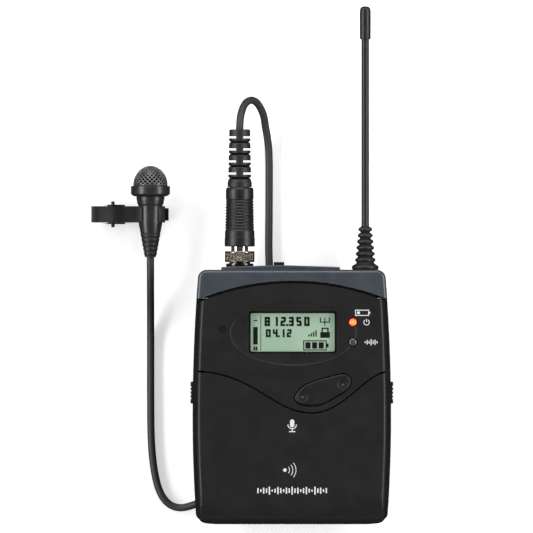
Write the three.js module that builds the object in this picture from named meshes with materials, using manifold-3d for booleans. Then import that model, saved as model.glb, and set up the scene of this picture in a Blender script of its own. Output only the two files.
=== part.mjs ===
// Wireless lavalier set: a bodypack transmitter lying on its back, its plugged-in
// microphone cable wound up underneath it, and the clip-on microphone lying beside it.
// Millimetres, +Z up off the table, +Y towards the antenna tip. Everything is drawn in
// the bodypack's own frame (centre line x = 0, bottom edge y = 0) and then shifted so
// that the origin is under the middle of the set.
import * as THREE from 'three';
import { mergeVertices } from 'three/addons/utils/BufferGeometryUtils.js';
import Module from 'manifold-3d';

const wasm = await Module();
wasm.setup();

// ---- driving dimensions -----------------------------------------------------------

const STANDOFF = 8.6; // table to the back of the case, held up by the wire belt clip
const CASE_DEPTH = 24;
const CASE_HALF_WIDTH = 31.4;
const CASE_TOP = 80.5;
const WAIST_Y = 34; // where the case is widest
const WALL = 1.6;
const GAP = 0.3; // between separate pieces

const BACK = STANDOFF;
const FRONT = STANDOFF + CASE_DEPTH;
const SPLIT = FRONT - 5; // parting plane between the rear housing and the front pieces
const FRONT_INSET = 1.3; // the front pieces are this much narrower than the housing
const SHOULDER_Y = 71.5; // lower edge of the top cap at the sides and back

const CAP_SEAM = { x: 0.4, y: -1.9, r: 79 }; // arc between the top cap and the front panel
const PLATEAU = { left: -22.4, right: 15.3, low: 81.4, high: 82 };

const DISPLAY = { x: 0.25, y: 60.7, width: 28, height: 13.6, corner: 1.2 };
const DISH = { x: 0.5, y: 60.5, a: 20, b: 10.25, depth: 0.6 };
const LED_X = 19.3;
const POWER_LED_Y = 63.9;
const PEAK_LED_Y = 57.6;
const IR_WINDOW = { x: -21.9, y: 61.7 };
const ROCKER = { x: 9.7, y: 42.2, tilt: 15.3 };
const SET_BUTTON = { x: -20, y: 40.2 };
const POWER_BUTTON = { x: 22.2, y: 39.4 };
const KEY_FLANGE = 2.8;
const CATCH = { y: 41.6, length: 7, z: 22, height: 5, proud: 0.7, nose: 29 };
const MUTE = { x: -4.05, width: 3.3, travel: 3 };

const AXIS_Z = 20.2; // height of the plug and antenna axes
const PLUG_X = -16.5;
const ANTENNA_X = 23.27;
const ANTENNA_TIP = 164;

const HINGE = { y: 1.9, z: SPLIT - 4.6, barrel: 1.8, pin: 0.6 };
const KNUCKLES = { inner: 6, split: 17.8, outer: 26 };

const CELL = { length: 49.2, radius: 7.1, nub: 1.3, z: 18.8, y: [12.6, 27.1] };
const TRAY = { halfWidth: 28, low: 4.2, high: 34.9, floor: 10.8, rim: 21 };
const BOARD = { z: 21.4, thickness: 1, halfWidth: 24.8, low: 37, high: 66.6 };

const CLIP_WIRE = 2.2;
const CLIP_X = 28.6;
const CLIP_PIVOT = { y: 62, z: 4.9 };
const CLIP_END_Y = 5.4;

const CORD = 2.4;
const COIL = { x: 0, y: 30, middle: 14, columns: 5, layers: 3, low: 0.5 };

const MIC_X = -44.84;
const MIC_Z = 10.5;
const MIC_BODY_R = 3.8;
const TIE_CLIP_Y = 98.1;
const TIE_CLIP_WIDTH = 5.2;
const TIE_PIN = { x: -56.8, z: 4.8, r: 0.55 };
const TIE_CLIP_LEFT = -63.8;

// The set without its cord spans these, and the origin is under their middle.
const SET_CENTRE = { x: (TIE_CLIP_LEFT + CASE_HALF_WIDTH + CATCH.proud) / 2, y: ANTENNA_TIP / 2 };

// ---- finishes ---------------------------------------------------------------------

const finish = (color, roughness, metalness = 0) =>
  new THREE.MeshStandardMaterial({ color, roughness, metalness });

const BLACK_PLASTIC = finish(0x262626, 0.55);
const DARK_PLASTIC = finish(0x1c1c1d, 0.65);
const CAP_PAINT = finish(0x3d4652, 0.4, 0.3);
const RUBBER = finish(0x222222, 0.8);
const CABLE_SKIN = finish(0x464646, 0.6);
const NICKEL = finish(0xc9c2b6, 0.25, 1);
const BLACK_METAL = finish(0x2a2a2b, 0.4, 0.6);
const STEEL = finish(0x8d8f92, 0.35, 1);
const BRASS = finish(0xb0904a, 0.35, 1);
const BOARD_GREEN = finish(0x1f5236, 0.6);
const LCD_GREEN = finish(0xa9c3ab, 0.35);
const CLEAR = finish(0xdde6e0, 0.1);
const RED_LENS = finish(0xd23c1e, 0.3);
const GREY_LENS = finish(0x83858a, 0.35);
const CELL_WRAP = finish(0x57606b, 0.4, 0.2);

// ---- shape helpers ----------------------------------------------------------------

const set = new THREE.Group();
set.position.set(-SET_CENTRE.x, -SET_CENTRE.y, 0);

// Bare positions with shared vertices, no collapsed triangles, faces out.
function tidy(source) {
  const bare = new THREE.BufferGeometry();
  bare.setAttribute('position', source.getAttribute('position').clone());
  if (source.index) bare.setIndex(source.index.clone());
  const merged = mergeVertices(bare, 1e-4);
  const corners = merged.index.array;
  const places = merged.getAttribute('position');
  const kept = [];
  const [a, b, c] = [new THREE.Vector3(), new THREE.Vector3(), new THREE.Vector3()];
  let volume = 0;
  for (let i = 0; i < corners.length; i += 3) {
    const [p, q, r] = corners.slice(i, i + 3);
    if (p === q || q === r || r === p) continue;
    kept.push(p, q, r);
    a.fromBufferAttribute(places, p);
    b.fromBufferAttribute(places, q);
    c.fromBufferAttribute(places, r);
    volume += a.dot(b.cross(c));
  }
  if (volume < 0) kept.reverse();
  merged.setIndex(kept);
  return merged;
}

function solid(source) {
  const closed = tidy(source);
  const vertProperties = new Float32Array(closed.getAttribute('position').array);
  const triVerts = new Uint32Array(closed.index.array);
  return new wasm.Manifold(new wasm.Mesh({ numProp: 3, vertProperties, triVerts }));
}

function fromSolid(body) {
  const mesh = body.getMesh();
  const geometry = new THREE.BufferGeometry();
  geometry.setAttribute('position', new THREE.BufferAttribute(mesh.vertProperties, 3));
  geometry.setIndex(new THREE.BufferAttribute(mesh.triVerts, 1));
  return geometry;
}

const join = (first, ...rest) => rest.reduce((sum, next) => sum.add(next), first);
const cut = (first, ...rest) => rest.reduce((left, next) => left.subtract(next), first);

function piece(name, shape, material) {
  const geometry = shape.isBufferGeometry ? tidy(shape) : fromSolid(shape);
  const mesh = new THREE.Mesh(geometry, material);
  mesh.name = name;
  set.add(mesh);
}

// An outline in x and y, drawn out from zLow to zHigh, with its rims rounded.
function prism(shape, zLow, zHigh, round = 0, curveSegments = 5) {
  const geometry = new THREE.ExtrudeGeometry(shape, {
    depth: zHigh - zLow - 2 * round,
    bevelEnabled: round > 0,
    bevelSize: round,
    bevelThickness: round,
    bevelOffset: -round,
    bevelSegments: 3,
    curveSegments,
  });
  return geometry.translate(0, 0, zLow + round);
}

// An outline in y and z, drawn out along x.
const TURN_TO_X = new THREE.Matrix4().set(0, 0, 1, 0, 1, 0, 0, 0, 0, 1, 0, 0, 0, 0, 0, 1);
const prismX = (shape, xLow, xHigh, curveSegments = 5) =>
  prism(shape, xLow, xHigh, 0, curveSegments).applyMatrix4(TURN_TO_X);

// An outline in z and x, drawn out along y.
const TURN_TO_Y = new THREE.Matrix4().set(0, 1, 0, 0, 0, 0, 1, 0, 1, 0, 0, 0, 0, 0, 0, 1);
const prismY = (shape, yLow, yHigh, curveSegments = 5) =>
  prism(shape, yLow, yHigh, 0, curveSegments).applyMatrix4(TURN_TO_Y);

function block([xLow, xHigh], [yLow, yHigh], [zLow, zHigh]) {
  const geometry = new THREE.BoxGeometry(xHigh - xLow, yHigh - yLow, zHigh - zLow);
  return geometry.translate((xLow + xHigh) / 2, (yLow + yHigh) / 2, (zLow + zHigh) / 2);
}

const spread = (middle, size) => [middle - size / 2, middle + size / 2];

function polygon(points) {
  return new THREE.Shape(points.map(([u, v]) => new THREE.Vector2(u, v)));
}

function disc(u, v, radius) {
  return new THREE.Shape().absarc(u, v, radius, 0, 2 * Math.PI);
}

function roundedRectangle(x, y, width, height, corner) {
  const [left, right] = spread(x, width);
  const [low, high] = spread(y, height);
  const shape = new THREE.Shape();
  shape.absarc(right - corner, low + corner, corner, -Math.PI / 2, 0);
  shape.absarc(right - corner, high - corner, corner, 0, Math.PI / 2);
  shape.absarc(left + corner, high - corner, corner, Math.PI / 2, Math.PI);
  shape.absarc(left + corner, low + corner, corner, Math.PI, 1.5 * Math.PI);
  return shape;
}

// A profile of [radius, y] points turned about the line x, z that runs along y.
function turned(profile, x, z, sides = 20) {
  const points = profile.map(([radius, y]) => new THREE.Vector2(radius, y));
  return new THREE.LatheGeometry(points, sides).translate(x, 0, z);
}

const rodY = (x, z, radius, yLow, yHigh, sides = 20) =>
  turned([[0, yLow], [radius, yLow], [radius, yHigh], [0, yHigh]], x, z, sides);

const rodZ = (x, y, radius, zLow, zHigh, curve = 8) =>
  prism(disc(x, y, radius), zLow, zHigh, 0, curve);

const rodX = (y, z, radius, xLow, xHigh, curve = 6) =>
  prismX(disc(y, z, radius), xLow, xHigh, curve);

// A bent strip of the given thickness along [u, v] points.
function strip(points, thickness) {
  const half = thickness / 2;
  const along = points.map(([u, v]) => new THREE.Vector2(u, v));
  const side = (sign) => along.map((point, i) => {
    const before = along[Math.max(i - 1, 0)];
    const after = along[Math.min(i + 1, along.length - 1)];
    const way = after.clone().sub(before).normalize();
    return [point.x - sign * half * way.y, point.y + sign * half * way.x];
  });
  return polygon([...side(-1), ...side(1).reverse()]);
}

function tube(points, diameter, steps, sides = 8) {
  const path = new THREE.CatmullRomCurve3(points.map((p) => new THREE.Vector3(...p)));
  const section = [];
  for (let i = 0; i < sides; i += 1) {
    const turn = (2 * Math.PI * (i + 0.5)) / sides;
    section.push([(diameter / 2) * Math.cos(turn), (diameter / 2) * Math.sin(turn)]);
  }
  return new THREE.ExtrudeGeometry(polygon(section), { extrudePath: path, steps });
}

// ---- case outline -----------------------------------------------------------------

function halfWidth(y) {
  const [narrowing, reach] = y > WAIST_Y ? [1.7, 44] : [0.9, 28.5];
  return CASE_HALF_WIDTH - narrowing * ((y - WAIST_Y) / reach) ** 2;
}

// The case seen from the front, pulled in all round by inset.
function caseOutline(inset, low = 0, high = CASE_TOP, lowCorner = 3, highCorner = 2.8) {
  const bottom = low + inset;
  const top = high - inset;
  const r = Math.max(lowCorner - inset, 0.3);
  const s = Math.max(highCorner - inset, 0.3);
  const sideSteps = 7;
  const side = [];
  for (let i = 0; i <= sideSteps; i += 1) {
    const y = bottom + r + ((top - s - bottom - r) * i) / sideSteps;
    side.push([halfWidth(y) - inset, y]);
  }
  const [xLow] = side[0];
  const [xHigh] = side[sideSteps];
  const shape = new THREE.Shape();
  shape.absarc(xLow - r, bottom + r, r, -Math.PI / 2, 0);
  side.slice(1).forEach(([x, y]) => shape.lineTo(x, y));
  shape.absarc(xHigh - s, top - s, s, 0, Math.PI / 2);
  shape.absarc(s - xHigh, top - s, s, Math.PI / 2, Math.PI);
  side.slice(1, -1).reverse().forEach(([x, y]) => shape.lineTo(-x, y));
  shape.lineTo(-xLow, bottom + r);
  shape.absarc(r - xLow, bottom + r, r, Math.PI, 1.5 * Math.PI);
  return shape;
}

// Everything below the arc between the top cap and the front panel.
function belowCapSeam(shift) {
  const shape = new THREE.Shape();
  const reach = Math.acos(36 / CAP_SEAM.r);
  shape.moveTo(-36, -5);
  shape.lineTo(36, -5);
  shape.absarc(CAP_SEAM.x, CAP_SEAM.y, CAP_SEAM.r + shift, reach, Math.PI - reach);
  return prism(shape, SPLIT - 1, FRONT + 1, 0, 20);
}

// Everything below the S-shaped edge of the battery door.
function belowDoorSeam(shift) {
  const edge = 36;
  const shape = new THREE.Shape();
  shape.moveTo(-edge, -3);
  shape.lineTo(-edge, 48.4 + shift);
  shape.lineTo(-31.4, 48.4 + shift);
  shape.bezierCurveTo(-12, 48.4 + shift, -6, 35.2 + shift, 6.2, 35.2 + shift);
  shape.bezierCurveTo(17, 35.2 + shift, 23, 48.4 + shift, 31.4, 48.4 + shift);
  shape.lineTo(edge, 48.4 + shift);
  shape.lineTo(edge, -3);
  return prism(shape, HINGE.z - 8, FRONT + 1, 0, 12);
}

// ---- bodypack case ----------------------------------------------------------------

// Side view of the front pieces: the face rolls off towards the bottom edge.
function frontRoll(inset) {
  const roll = { along: 9, down: 5.2 };
  const shape = new THREE.Shape();
  shape.moveTo(inset, HINGE.z - 6);
  shape.lineTo(inset, FRONT - roll.down);
  shape.quadraticCurveTo(inset, FRONT - inset, roll.along, FRONT - inset);
  shape.lineTo(90, FRONT - inset);
  shape.lineTo(90, HINGE.z - 6);
  return prismX(shape, -40, 40, 5);
}

function frontShell() {
  const skin = solid(prism(caseOutline(FRONT_INSET, -FRONT_INSET), SPLIT - 8, FRONT, 1.4))
    .intersect(solid(frontRoll(0)));
  const hollow = solid(prism(caseOutline(FRONT_INSET + WALL, -FRONT_INSET), SPLIT - 9, FRONT - WALL))
    .intersect(solid(frontRoll(WALL)));
  return { skin, hollow };
}

function beanOutline(grow) {
  const corners = [
    [0.8, 40.2], [3.5, 43.6], [7.1, 45.3], [11.3, 46.5], [14.4, 47.3], [16.8, 47.6],
    [18.4, 46.4], [18.7, 44.6], [17.6, 42.8], [13.5, 40.1], [9.4, 38], [6.2, 37.5],
    [3.3, 37.9], [1.3, 38.7],
  ];
  const loop = new THREE.CatmullRomCurve3(corners.map(([x, y]) => new THREE.Vector3(x, y, 0)), true);
  const points = loop.getPoints(28).slice(0, -1);
  return polygon(points.map((point, i) => {
    const way = loop.getTangent(i / points.length);
    return [point.x - grow * way.y, point.y + grow * way.x];
  }));
}

function rearHousing() {
  const shell = solid(prism(caseOutline(0), BACK, SPLIT + 4, 1.8));
  const hollow = solid(prism(caseOutline(WALL), BACK + WALL, SPLIT + 5));
  const frontOff = solid(block([-40, 40], [-5, 90], [SPLIT, SPLIT + 6]));
  const topOff = solid(block([-40, 40], [SHOULDER_Y - GAP, 90], [0, 40]));
  const hingeBay = solid(block([-27, 27], [-2, HINGE.y + 2.4], [HINGE.z - 2.1, SPLIT + 1]));
  const lugShape = new THREE.Shape();
  lugShape.absarc(CLIP_PIVOT.y, CLIP_PIVOT.z, 2.4, Math.PI, 2 * Math.PI);
  lugShape.lineTo(CLIP_PIVOT.y + 2.9, BACK + 0.6);
  lugShape.lineTo(CLIP_PIVOT.y - 2.9, BACK + 0.6);
  const bore = solid(rodX(CLIP_PIVOT.y, CLIP_PIVOT.z, CLIP_WIRE / 2 + 0.25, -40, 40));
  const lugs = [-1, 1].map((side) =>
    solid(prismX(lugShape, ...[side * 23, side * 26.2].sort((a, b) => a - b))));
  const knuckles = [-1, 1].map((side) => {
    const [xLow, xHigh] = [side * KNUCKLES.split, side * KNUCKLES.outer].sort((a, b) => a - b);
    const web = block([xLow, xHigh], [HINGE.y - 1.6, HINGE.y + 0.6], [HINGE.z - 2.6, HINGE.z]);
    return solid(rodX(HINGE.y, HINGE.z, HINGE.barrel, xLow, xHigh)).add(solid(web));
  });
  const pinBore = solid(rodX(HINGE.y, HINGE.z, HINGE.pin + 0.15, -40, 40));
  const catchSlots = [-1, 1].map((side) => solid(block(
    spread(side * CASE_HALF_WIDTH, 8),
    spread(CATCH.y, CATCH.length + 2 * GAP),
    spread(CATCH.z, CATCH.height + 2 * GAP),
  )));
  const screwHoles = SCREWS.map(({ x, y }) => solid(rodZ(x, y, 1.9, BACK - 1, BACK + 2)));
  const body = cut(join(shell, ...lugs), hollow, frontOff, topOff, hingeBay, bore);
  return cut(join(body, ...knuckles), pinBore, ...catchSlots, ...screwHoles);
}

const SCREWS = [
  { x: -19.5, y: 66.5 },
  { x: 19.5, y: 66.5 },
  { x: -24, y: 41 },
  { x: 24, y: 41 },
];

function frontPanel({ skin, hollow }) {
  const below = solid(belowDoorSeam(0.35));
  const above = solid(belowCapSeam(-0.35));
  const { x, y, width, height, corner } = DISPLAY;
  const window = solid(prism(roundedRectangle(x, y, width, height, corner), SPLIT, FRONT + 1));
  const bowl = new THREE.SphereGeometry(1, 28, 8).scale(DISH.a, DISH.b, DISH.depth);
  const dish = solid(bowl.translate(DISH.x, DISH.y, FRONT));
  const ledHoles = [POWER_LED_Y, PEAK_LED_Y].map((ledY) =>
    solid(rodZ(LED_X, ledY, 1.6, SPLIT, FRONT + 1, 4)));
  const irHole = solid(rodZ(IR_WINDOW.x, IR_WINDOW.y, 1.45, SPLIT, FRONT + 1, 4));
  const rockerHole = solid(prism(beanOutline(0.3), SPLIT, FRONT + 1));
  const plate = cut(skin, hollow, below).intersect(above);
  const lowTrim = solid(block([-40, 40], [-5, 90], [0, SPLIT + GAP]));
  return cut(plate, lowTrim, window, dish, ...ledHoles, irHole, rockerHole);
}

function batteryDoor({ skin, hollow }) {
  const region = solid(belowDoorSeam(0));
  const sides = solid(block([-40, 40], [HINGE.y + 2.6, 90], [0, SPLIT + GAP]));
  const foot = solid(block([-40, 40], [-5, HINGE.y + 2.7], [0, HINGE.z]));
  const corners = [-1, 1].map((side) => {
    const [xLow, xHigh] = [side * (KNUCKLES.split - GAP), side * 40].sort((a, b) => a - b);
    return solid(block([xLow, xHigh], [-5, HINGE.y + 2.7], [0, HINGE.z + HINGE.barrel + GAP]));
  });
  const flanks = [-1, 1].map((side) => {
    const [xLow, xHigh] = [side * 26.7, side * 40].sort((a, b) => a - b);
    return solid(block([xLow, xHigh], [-5, HINGE.y + 2.7], [0, SPLIT + GAP]));
  });
  const knuckles = [-1, 1].map((side) => {
    const [xLow, xHigh] = [side * KNUCKLES.inner, side * (KNUCKLES.split - GAP)]
      .sort((a, b) => a - b);
    return solid(rodX(HINGE.y, HINGE.z, HINGE.barrel, xLow, xHigh));
  });
  const pinBore = solid(rodX(HINGE.y, HINGE.z, HINGE.pin + 0.15, -40, 40));
  const shell = cut(cut(skin, hollow).intersect(region), sides, foot, ...corners, ...flanks);
  return cut(join(shell, ...knuckles), pinBore);
}

function topCap() {
  const plateau = polygon([
    [PLATEAU.left, CASE_TOP - 1], [PLATEAU.right, CASE_TOP - 1],
    [PLATEAU.right, PLATEAU.low - 0.3], [PLATEAU.right - 0.5, PLATEAU.low],
    [(PLATEAU.left + PLATEAU.right) / 2, PLATEAU.high],
    [PLATEAU.left + 0.5, PLATEAU.low], [PLATEAU.left, PLATEAU.low - 0.3],
  ]);
  const crown = solid(prism(plateau, BACK + 4, FRONT - 3));
  const shell = solid(prism(caseOutline(0, 40), BACK, FRONT, 1.3));
  const hollow = solid(prism(caseOutline(WALL, 40), BACK + WALL, FRONT - WALL));
  const body = solid(block([-40, 40], [0, SHOULDER_Y], [0, 40]));
  const jackHole = solid(rodY(PLUG_X, AXIS_Z, 4.5, 70, 90));
  const antennaHole = solid(rodY(ANTENNA_X, AXIS_Z, 2.6, 70, 90));
  const slot = solid(block(
    [MUTE.x - MUTE.width / 2 - 0.4, MUTE.x + MUTE.width / 2 + MUTE.travel + 0.4],
    [70, 90],
    spread(AXIS_Z, 3.6),
  ));
  return cut(join(shell, crown), hollow, body, solid(belowCapSeam(0)), jackHole, antennaHole, slot);
}

function doorCatch(side) {
  const across = (low, high) => [CASE_HALF_WIDTH - low, CASE_HALF_WIDTH - high];
  const length = spread(CATCH.y, CATCH.length);
  const button = block(across(3.2, -CATCH.proud), length, spread(CATCH.z, CATCH.height));
  const foot = block(across(5.2, 3.1), spread(CATCH.y, 4), [CATCH.z, CATCH.z + 1.4]);
  const arm = block(across(5.2, 4.6), spread(CATCH.y, 4), [CATCH.z, CATCH.nose + 0.8]);
  const nose = block(across(5.2, 4.2), spread(CATCH.y, 4), [CATCH.nose, CATCH.nose + 0.8]);
  const body = join(solid(button), solid(foot), solid(arm), solid(nose));
  return side > 0 ? body : body.mirror([1, 0, 0]);
}

function buildCase() {
  const front = frontShell();
  piece('rear_housing', rearHousing(), DARK_PLASTIC);
  piece('front_panel', frontPanel(front), BLACK_PLASTIC);
  piece('battery_door', batteryDoor(front), BLACK_PLASTIC);
  piece('top_cap', topCap(), CAP_PAINT);
  piece('door_hinge_pin', rodX(HINGE.y, HINGE.z, HINGE.pin, -KNUCKLES.outer, KNUCKLES.outer), STEEL);
  piece('catch_left', doorCatch(-1), BLACK_PLASTIC);
  piece('catch_right', doorCatch(1), BLACK_PLASTIC);
  SCREWS.forEach(({ x, y }, i) => {
    const head = solid(rodZ(x, y, 1.7, BACK + 0.3, BACK + 1.7));
    const shank = solid(rodZ(x, y, 0.9, BACK + 1.6, BACK + 3.6, 4));
    const cross = [
      solid(block(spread(x, 1.9), spread(y, 0.5), [BACK, BACK + 0.9])),
      solid(block(spread(x, 0.5), spread(y, 1.9), [BACK, BACK + 0.9])),
    ];
    piece(`case_screw_${i + 1}`, cut(join(head, shank), ...cross), STEEL);
  });
}

// ---- controls and display ---------------------------------------------------------

function buildControls() {
  const { x, y, width, height, corner } = DISPLAY;
  const glass = roundedRectangle(x, y, width - 2 * GAP, height - 2 * GAP, corner - GAP);
  piece('display_window', prism(glass, FRONT - 1.5, FRONT - 0.9), CLEAR);
  const ledLow = BOARD.z + BOARD.thickness + GAP;
  const frame = roundedRectangle(x, y, 34, 19, 1);
  frame.holes.push(roundedRectangle(x, y, 30.6, 15.6, 0.5));
  piece('display_frame', prism(frame, FRONT - 7.4, FRONT - 2), DARK_PLASTIC);
  piece('lcd_module', prism(roundedRectangle(x, y, 30, 15, 0.4), FRONT - 6.8, FRONT - 2), LCD_GREEN);
  const lens = (ledY) => join(
    solid(rodZ(LED_X, ledY, 1.3, FRONT - 4, FRONT + 0.1, 5)),
    solid(rodZ(LED_X, ledY, 1.8, ledLow, FRONT - 3.9, 5)),
  );
  piece('power_led', lens(POWER_LED_Y), RED_LENS);
  piece('peak_led', lens(PEAK_LED_Y), GREY_LENS);
  piece('infrared_window', rodZ(IR_WINDOW.x, IR_WINDOW.y, 1.15, FRONT - 3, FRONT - 0.2, 5), DARK_PLASTIC);
}

function buildRocker() {
  const turn = THREE.MathUtils.degToRad(ROCKER.tilt);
  const way = { x: Math.cos(turn), y: Math.sin(turn) };
  const cap = solid(prism(beanOutline(0), FRONT - 2.6, FRONT + 0.4, 0.4));
  const feet = [-1, 1].map((side) => {
    const [x, y] = [ROCKER.x + side * 6 * way.x, ROCKER.y + side * 6 * way.y];
    return solid(rodZ(x, y, 1.2, FRONT - 4, FRONT - 2.5, 4));
  });
  piece('rocker_button', join(cap, ...feet), DARK_PLASTIC);
  [-1, 1].forEach((side) => {
    const [x, y] = [ROCKER.x + side * 6 * way.x, ROCKER.y + side * 6 * way.y];
    tactSwitch(side < 0 ? 'rocker_switch_down' : 'rocker_switch_up', x, y, FRONT - 5);
  });
}

function tactSwitch(name, x, y, top) {
  const floor = BOARD.z + BOARD.thickness + GAP;
  const can = solid(block(spread(x, 4), spread(y, 4), [floor, top - 1]));
  piece(name, can.add(solid(rodZ(x, y, 0.9, top - 1.1, top, 4))), STEEL);
}

// The set and power keys stand on the board under the battery door.
function pushKey(name, { x, y }) {
  const cap = solid(rodZ(x, y, 2.3, SPLIT - 2, SPLIT + 0.6, 6));
  const flange = solid(rodZ(x, y, KEY_FLANGE, SPLIT - 2.6, SPLIT - 1.9, 6));
  piece(name, cap.add(flange), BLACK_PLASTIC);
}

function buildMute() {
  const knob = block(spread(MUTE.x, MUTE.width), [78.9, 83], spread(AXIS_Z, 3));
  const stem = block(spread(MUTE.x, 1.4), [76.6, 79], spread(AXIS_Z, 1.4));
  piece('mute_slider', join(solid(knob), solid(stem)), DARK_PLASTIC);
  const body = block(spread(MUTE.x + MUTE.travel / 2, 9), [71.9, 76], spread(AXIS_Z, 4.4));
  piece('mute_switch_body', body, STEEL);
}

// ---- electronics and batteries ----------------------------------------------------

function buildInside() {
  const { halfWidth: boardHalf, low, high, z, thickness } = BOARD;
  const boardShape = polygon([
    [-boardHalf, low], [boardHalf, low], [boardHalf, high - 4],
    [boardHalf - 4, high], [4 - boardHalf, high], [-boardHalf, high - 4],
  ]);
  piece('circuit_board', prism(boardShape, z, z + thickness), BOARD_GREEN);
  piece('rf_shield', block([-22, 8], [44, 64], [BACK + WALL + 2, z - GAP]), STEEL);
  const deck = solid(block([-24.8, 24.8], [35.4, 36.6], [BACK + WALL + GAP, SPLIT - 2.9]));
  const shelf = solid(block([-24.8, 24.8], [35.4, 46], [SPLIT - 4.2, SPLIT - 2.9]));
  const bayDepth = [SPLIT - 5, SPLIT - 2];
  const keyRoom = KEY_FLANGE + GAP;
  const { x: setX, y: setY } = SET_BUTTON;
  const { x: powerX, y: powerY } = POWER_BUTTON;
  const setBay = solid(block(spread(setX, 2 * keyRoom), spread(setY, 2 * keyRoom), bayDepth));
  const powerBay = solid(block([powerX - keyRoom, 26], [powerY - keyRoom, 47], bayDepth));
  const rockerBay = solid(block([0.5, 19.5], [37, 47], bayDepth));
  piece('inner_frame', cut(join(deck, shelf), setBay, powerBay, rockerBay), DARK_PLASTIC);
  tactSwitch('set_switch', SET_BUTTON.x, SET_BUTTON.y, SPLIT - 3.5);
  tactSwitch('power_switch', POWER_BUTTON.x, POWER_BUTTON.y, SPLIT - 3.5);
}

function buildBatteries() {
  const { halfWidth: trayHalf, low, high, floor, rim } = TRAY;
  const outside = solid(block([-trayHalf, trayHalf], [low, high], [floor, rim]));
  const inside = solid(block([1 - trayHalf, trayHalf - 1], [low + 0.9, high - 0.4], [floor + 0.6, 40]));
  piece('battery_tray', cut(outside, inside), DARK_PLASTIC);
  CELL.y.forEach((y, i) => {
    const can = solid(rodX(y, CELL.z, CELL.radius, -CELL.length / 2, CELL.length / 2, 8));
    const nubX = i === 0 ? [CELL.length / 2 - 0.1, CELL.length / 2 + CELL.nub]
      : [-CELL.length / 2 - CELL.nub, 0.1 - CELL.length / 2];
    piece(`battery_${i + 1}`, can.add(solid(rodX(y, CELL.z, 2.7, ...nubX, 5))), CELL_WRAP);
  });
  const plateX = trayHalf - 1.6;
  const plate = (side, yRange) => block(
    [side * plateX - 0.2, side * plateX + 0.2], yRange, [floor + 1, rim + 2]);
  piece('contact_bridge', plate(-1, [7, 31.5]), STEEL);
  piece('contact_plus', plate(1, [7, 17]), STEEL);
  piece('contact_minus', plate(1, [21.5, 31.5]), STEEL);
}

// ---- connector, plug and antenna --------------------------------------------------

function buildPlug() {
  const socket = [
    [1.9, 67], [4.2, 67], [4.2, 81.4], [4.35, 81.9], [4.35, 82.5], [3.3, 82.5], [3.3, 85.2], [1.9, 85.2],
    [1.9, 67],
  ];
  piece('jack_socket', turned(socket, PLUG_X, AXIS_Z), NICKEL);
  const pin = [
    [0, 68.6], [0.9, 69], [1.7, 70.6], [1.3, 71.6], [1.7, 72.4], [1.7, 85.6], [2.55, 85.6], [2.55, 95],
    [0, 95],
  ];
  piece('plug_pin', turned(pin, PLUG_X, AXIS_Z), NICKEL);
  const nut = [
    [3.6, 82.9], [4.5, 82.9], [4.75, 83.15], [4.75, 86.15], [4.5, 86.4], [2.85, 86.4], [2.85, 85.5],
    [3.6, 85.5], [3.6, 82.9],
  ];
  piece('plug_nut', turned(nut, PLUG_X, AXIS_Z), NICKEL);
  const sleeve = [[2.85, 87.85], [4.6, 87.85], [4.8, 88.1], [4.7, 92.6]];
  const grooves = 10;
  for (let i = 0; i < grooves; i += 1) {
    const y = 93.3 + i;
    sleeve.push([4.4 - 0.02 * i, y], [4.65 - 0.03 * i, y + 0.5]);
  }
  sleeve.push([4.35, 104.2], [4.3, 106.2], [4, 106.6], [2.85, 106.6], [2.85, 87.85]);
  piece('plug_sleeve', turned(sleeve, PLUG_X, AXIS_Z, 16), RUBBER);
  piece('plug_strain_relief', strainRelief(), RUBBER);
}

// A core with flexing rings: pairs of rings are bridged on alternate sides.
function strainRelief() {
  const base = 106.9;
  const end = 124.5;
  const core = solid(rodY(PLUG_X, AXIS_Z, 2, base, end, 12));
  const collar = solid(turned([[0, base], [3.9, base], [3.9, 108.4], [3.5, 108.9], [0, 108.9]],
    PLUG_X, AXIS_Z));
  const rings = [];
  const ringCount = 6;
  const pitch = (end - 109.7) / ringCount;
  for (let i = 0; i < ringCount; i += 1) {
    const y = 109.7 + i * pitch;
    const r = 3.55 - 0.05 * i;
    rings.push(solid(rodY(PLUG_X, AXIS_Z, r, y, y + pitch - 0.9, 20)));
    const turn = i % 2 === 0 ? [2.2, 0] : [0, 2.2];
    const bridges = [-1, 1].map((side) => solid(block(
      spread(PLUG_X + side * turn[0], 1.6),
      [y - 1, y + 0.1],
      spread(AXIS_Z + side * turn[1], 1.6),
    )));
    rings.push(...bridges);
  }
  return join(core, collar, ...rings);
}

function buildAntenna() {
  const boot = [[0, 77], [2.3, 77], [2.3, 80.8], [4.1, 80.8], [4.3, 81.3], [4.1, 82], [3.2, 82.4]];
  const ribs = 7;
  const pitch = (94.4 - 82.4) / ribs;
  for (let i = 0; i < ribs; i += 1) {
    const y = 82.4 + i * pitch;
    const r = 3.2 - (0.95 * i) / (ribs - 1);
    boot.push([r - 0.6, y + 0.3], [r - 0.6, y + 0.65], [r, y + 0.95], [r, y + 1.45]);
  }
  boot.push([1.35, 94.4], [1.35, 93.7], [0, 93.7]);
  piece('antenna_boot', turned(boot, ANTENNA_X, AXIS_Z, 14), RUBBER);
  piece('antenna_whip', rodY(ANTENNA_X, AXIS_Z, 1.2, 94, 153.2, 16), RUBBER);
  const tip = [
    [0, 153.5], [1.6, 153.5], [1.72, 153.9], [1.75, 162.4], [1.6, 163.3], [1.05, 163.85], [0, ANTENNA_TIP],
  ];
  piece('antenna_tip', turned(tip, ANTENNA_X, AXIS_Z, 20), RUBBER);
}

// ---- belt clip --------------------------------------------------------------------

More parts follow.
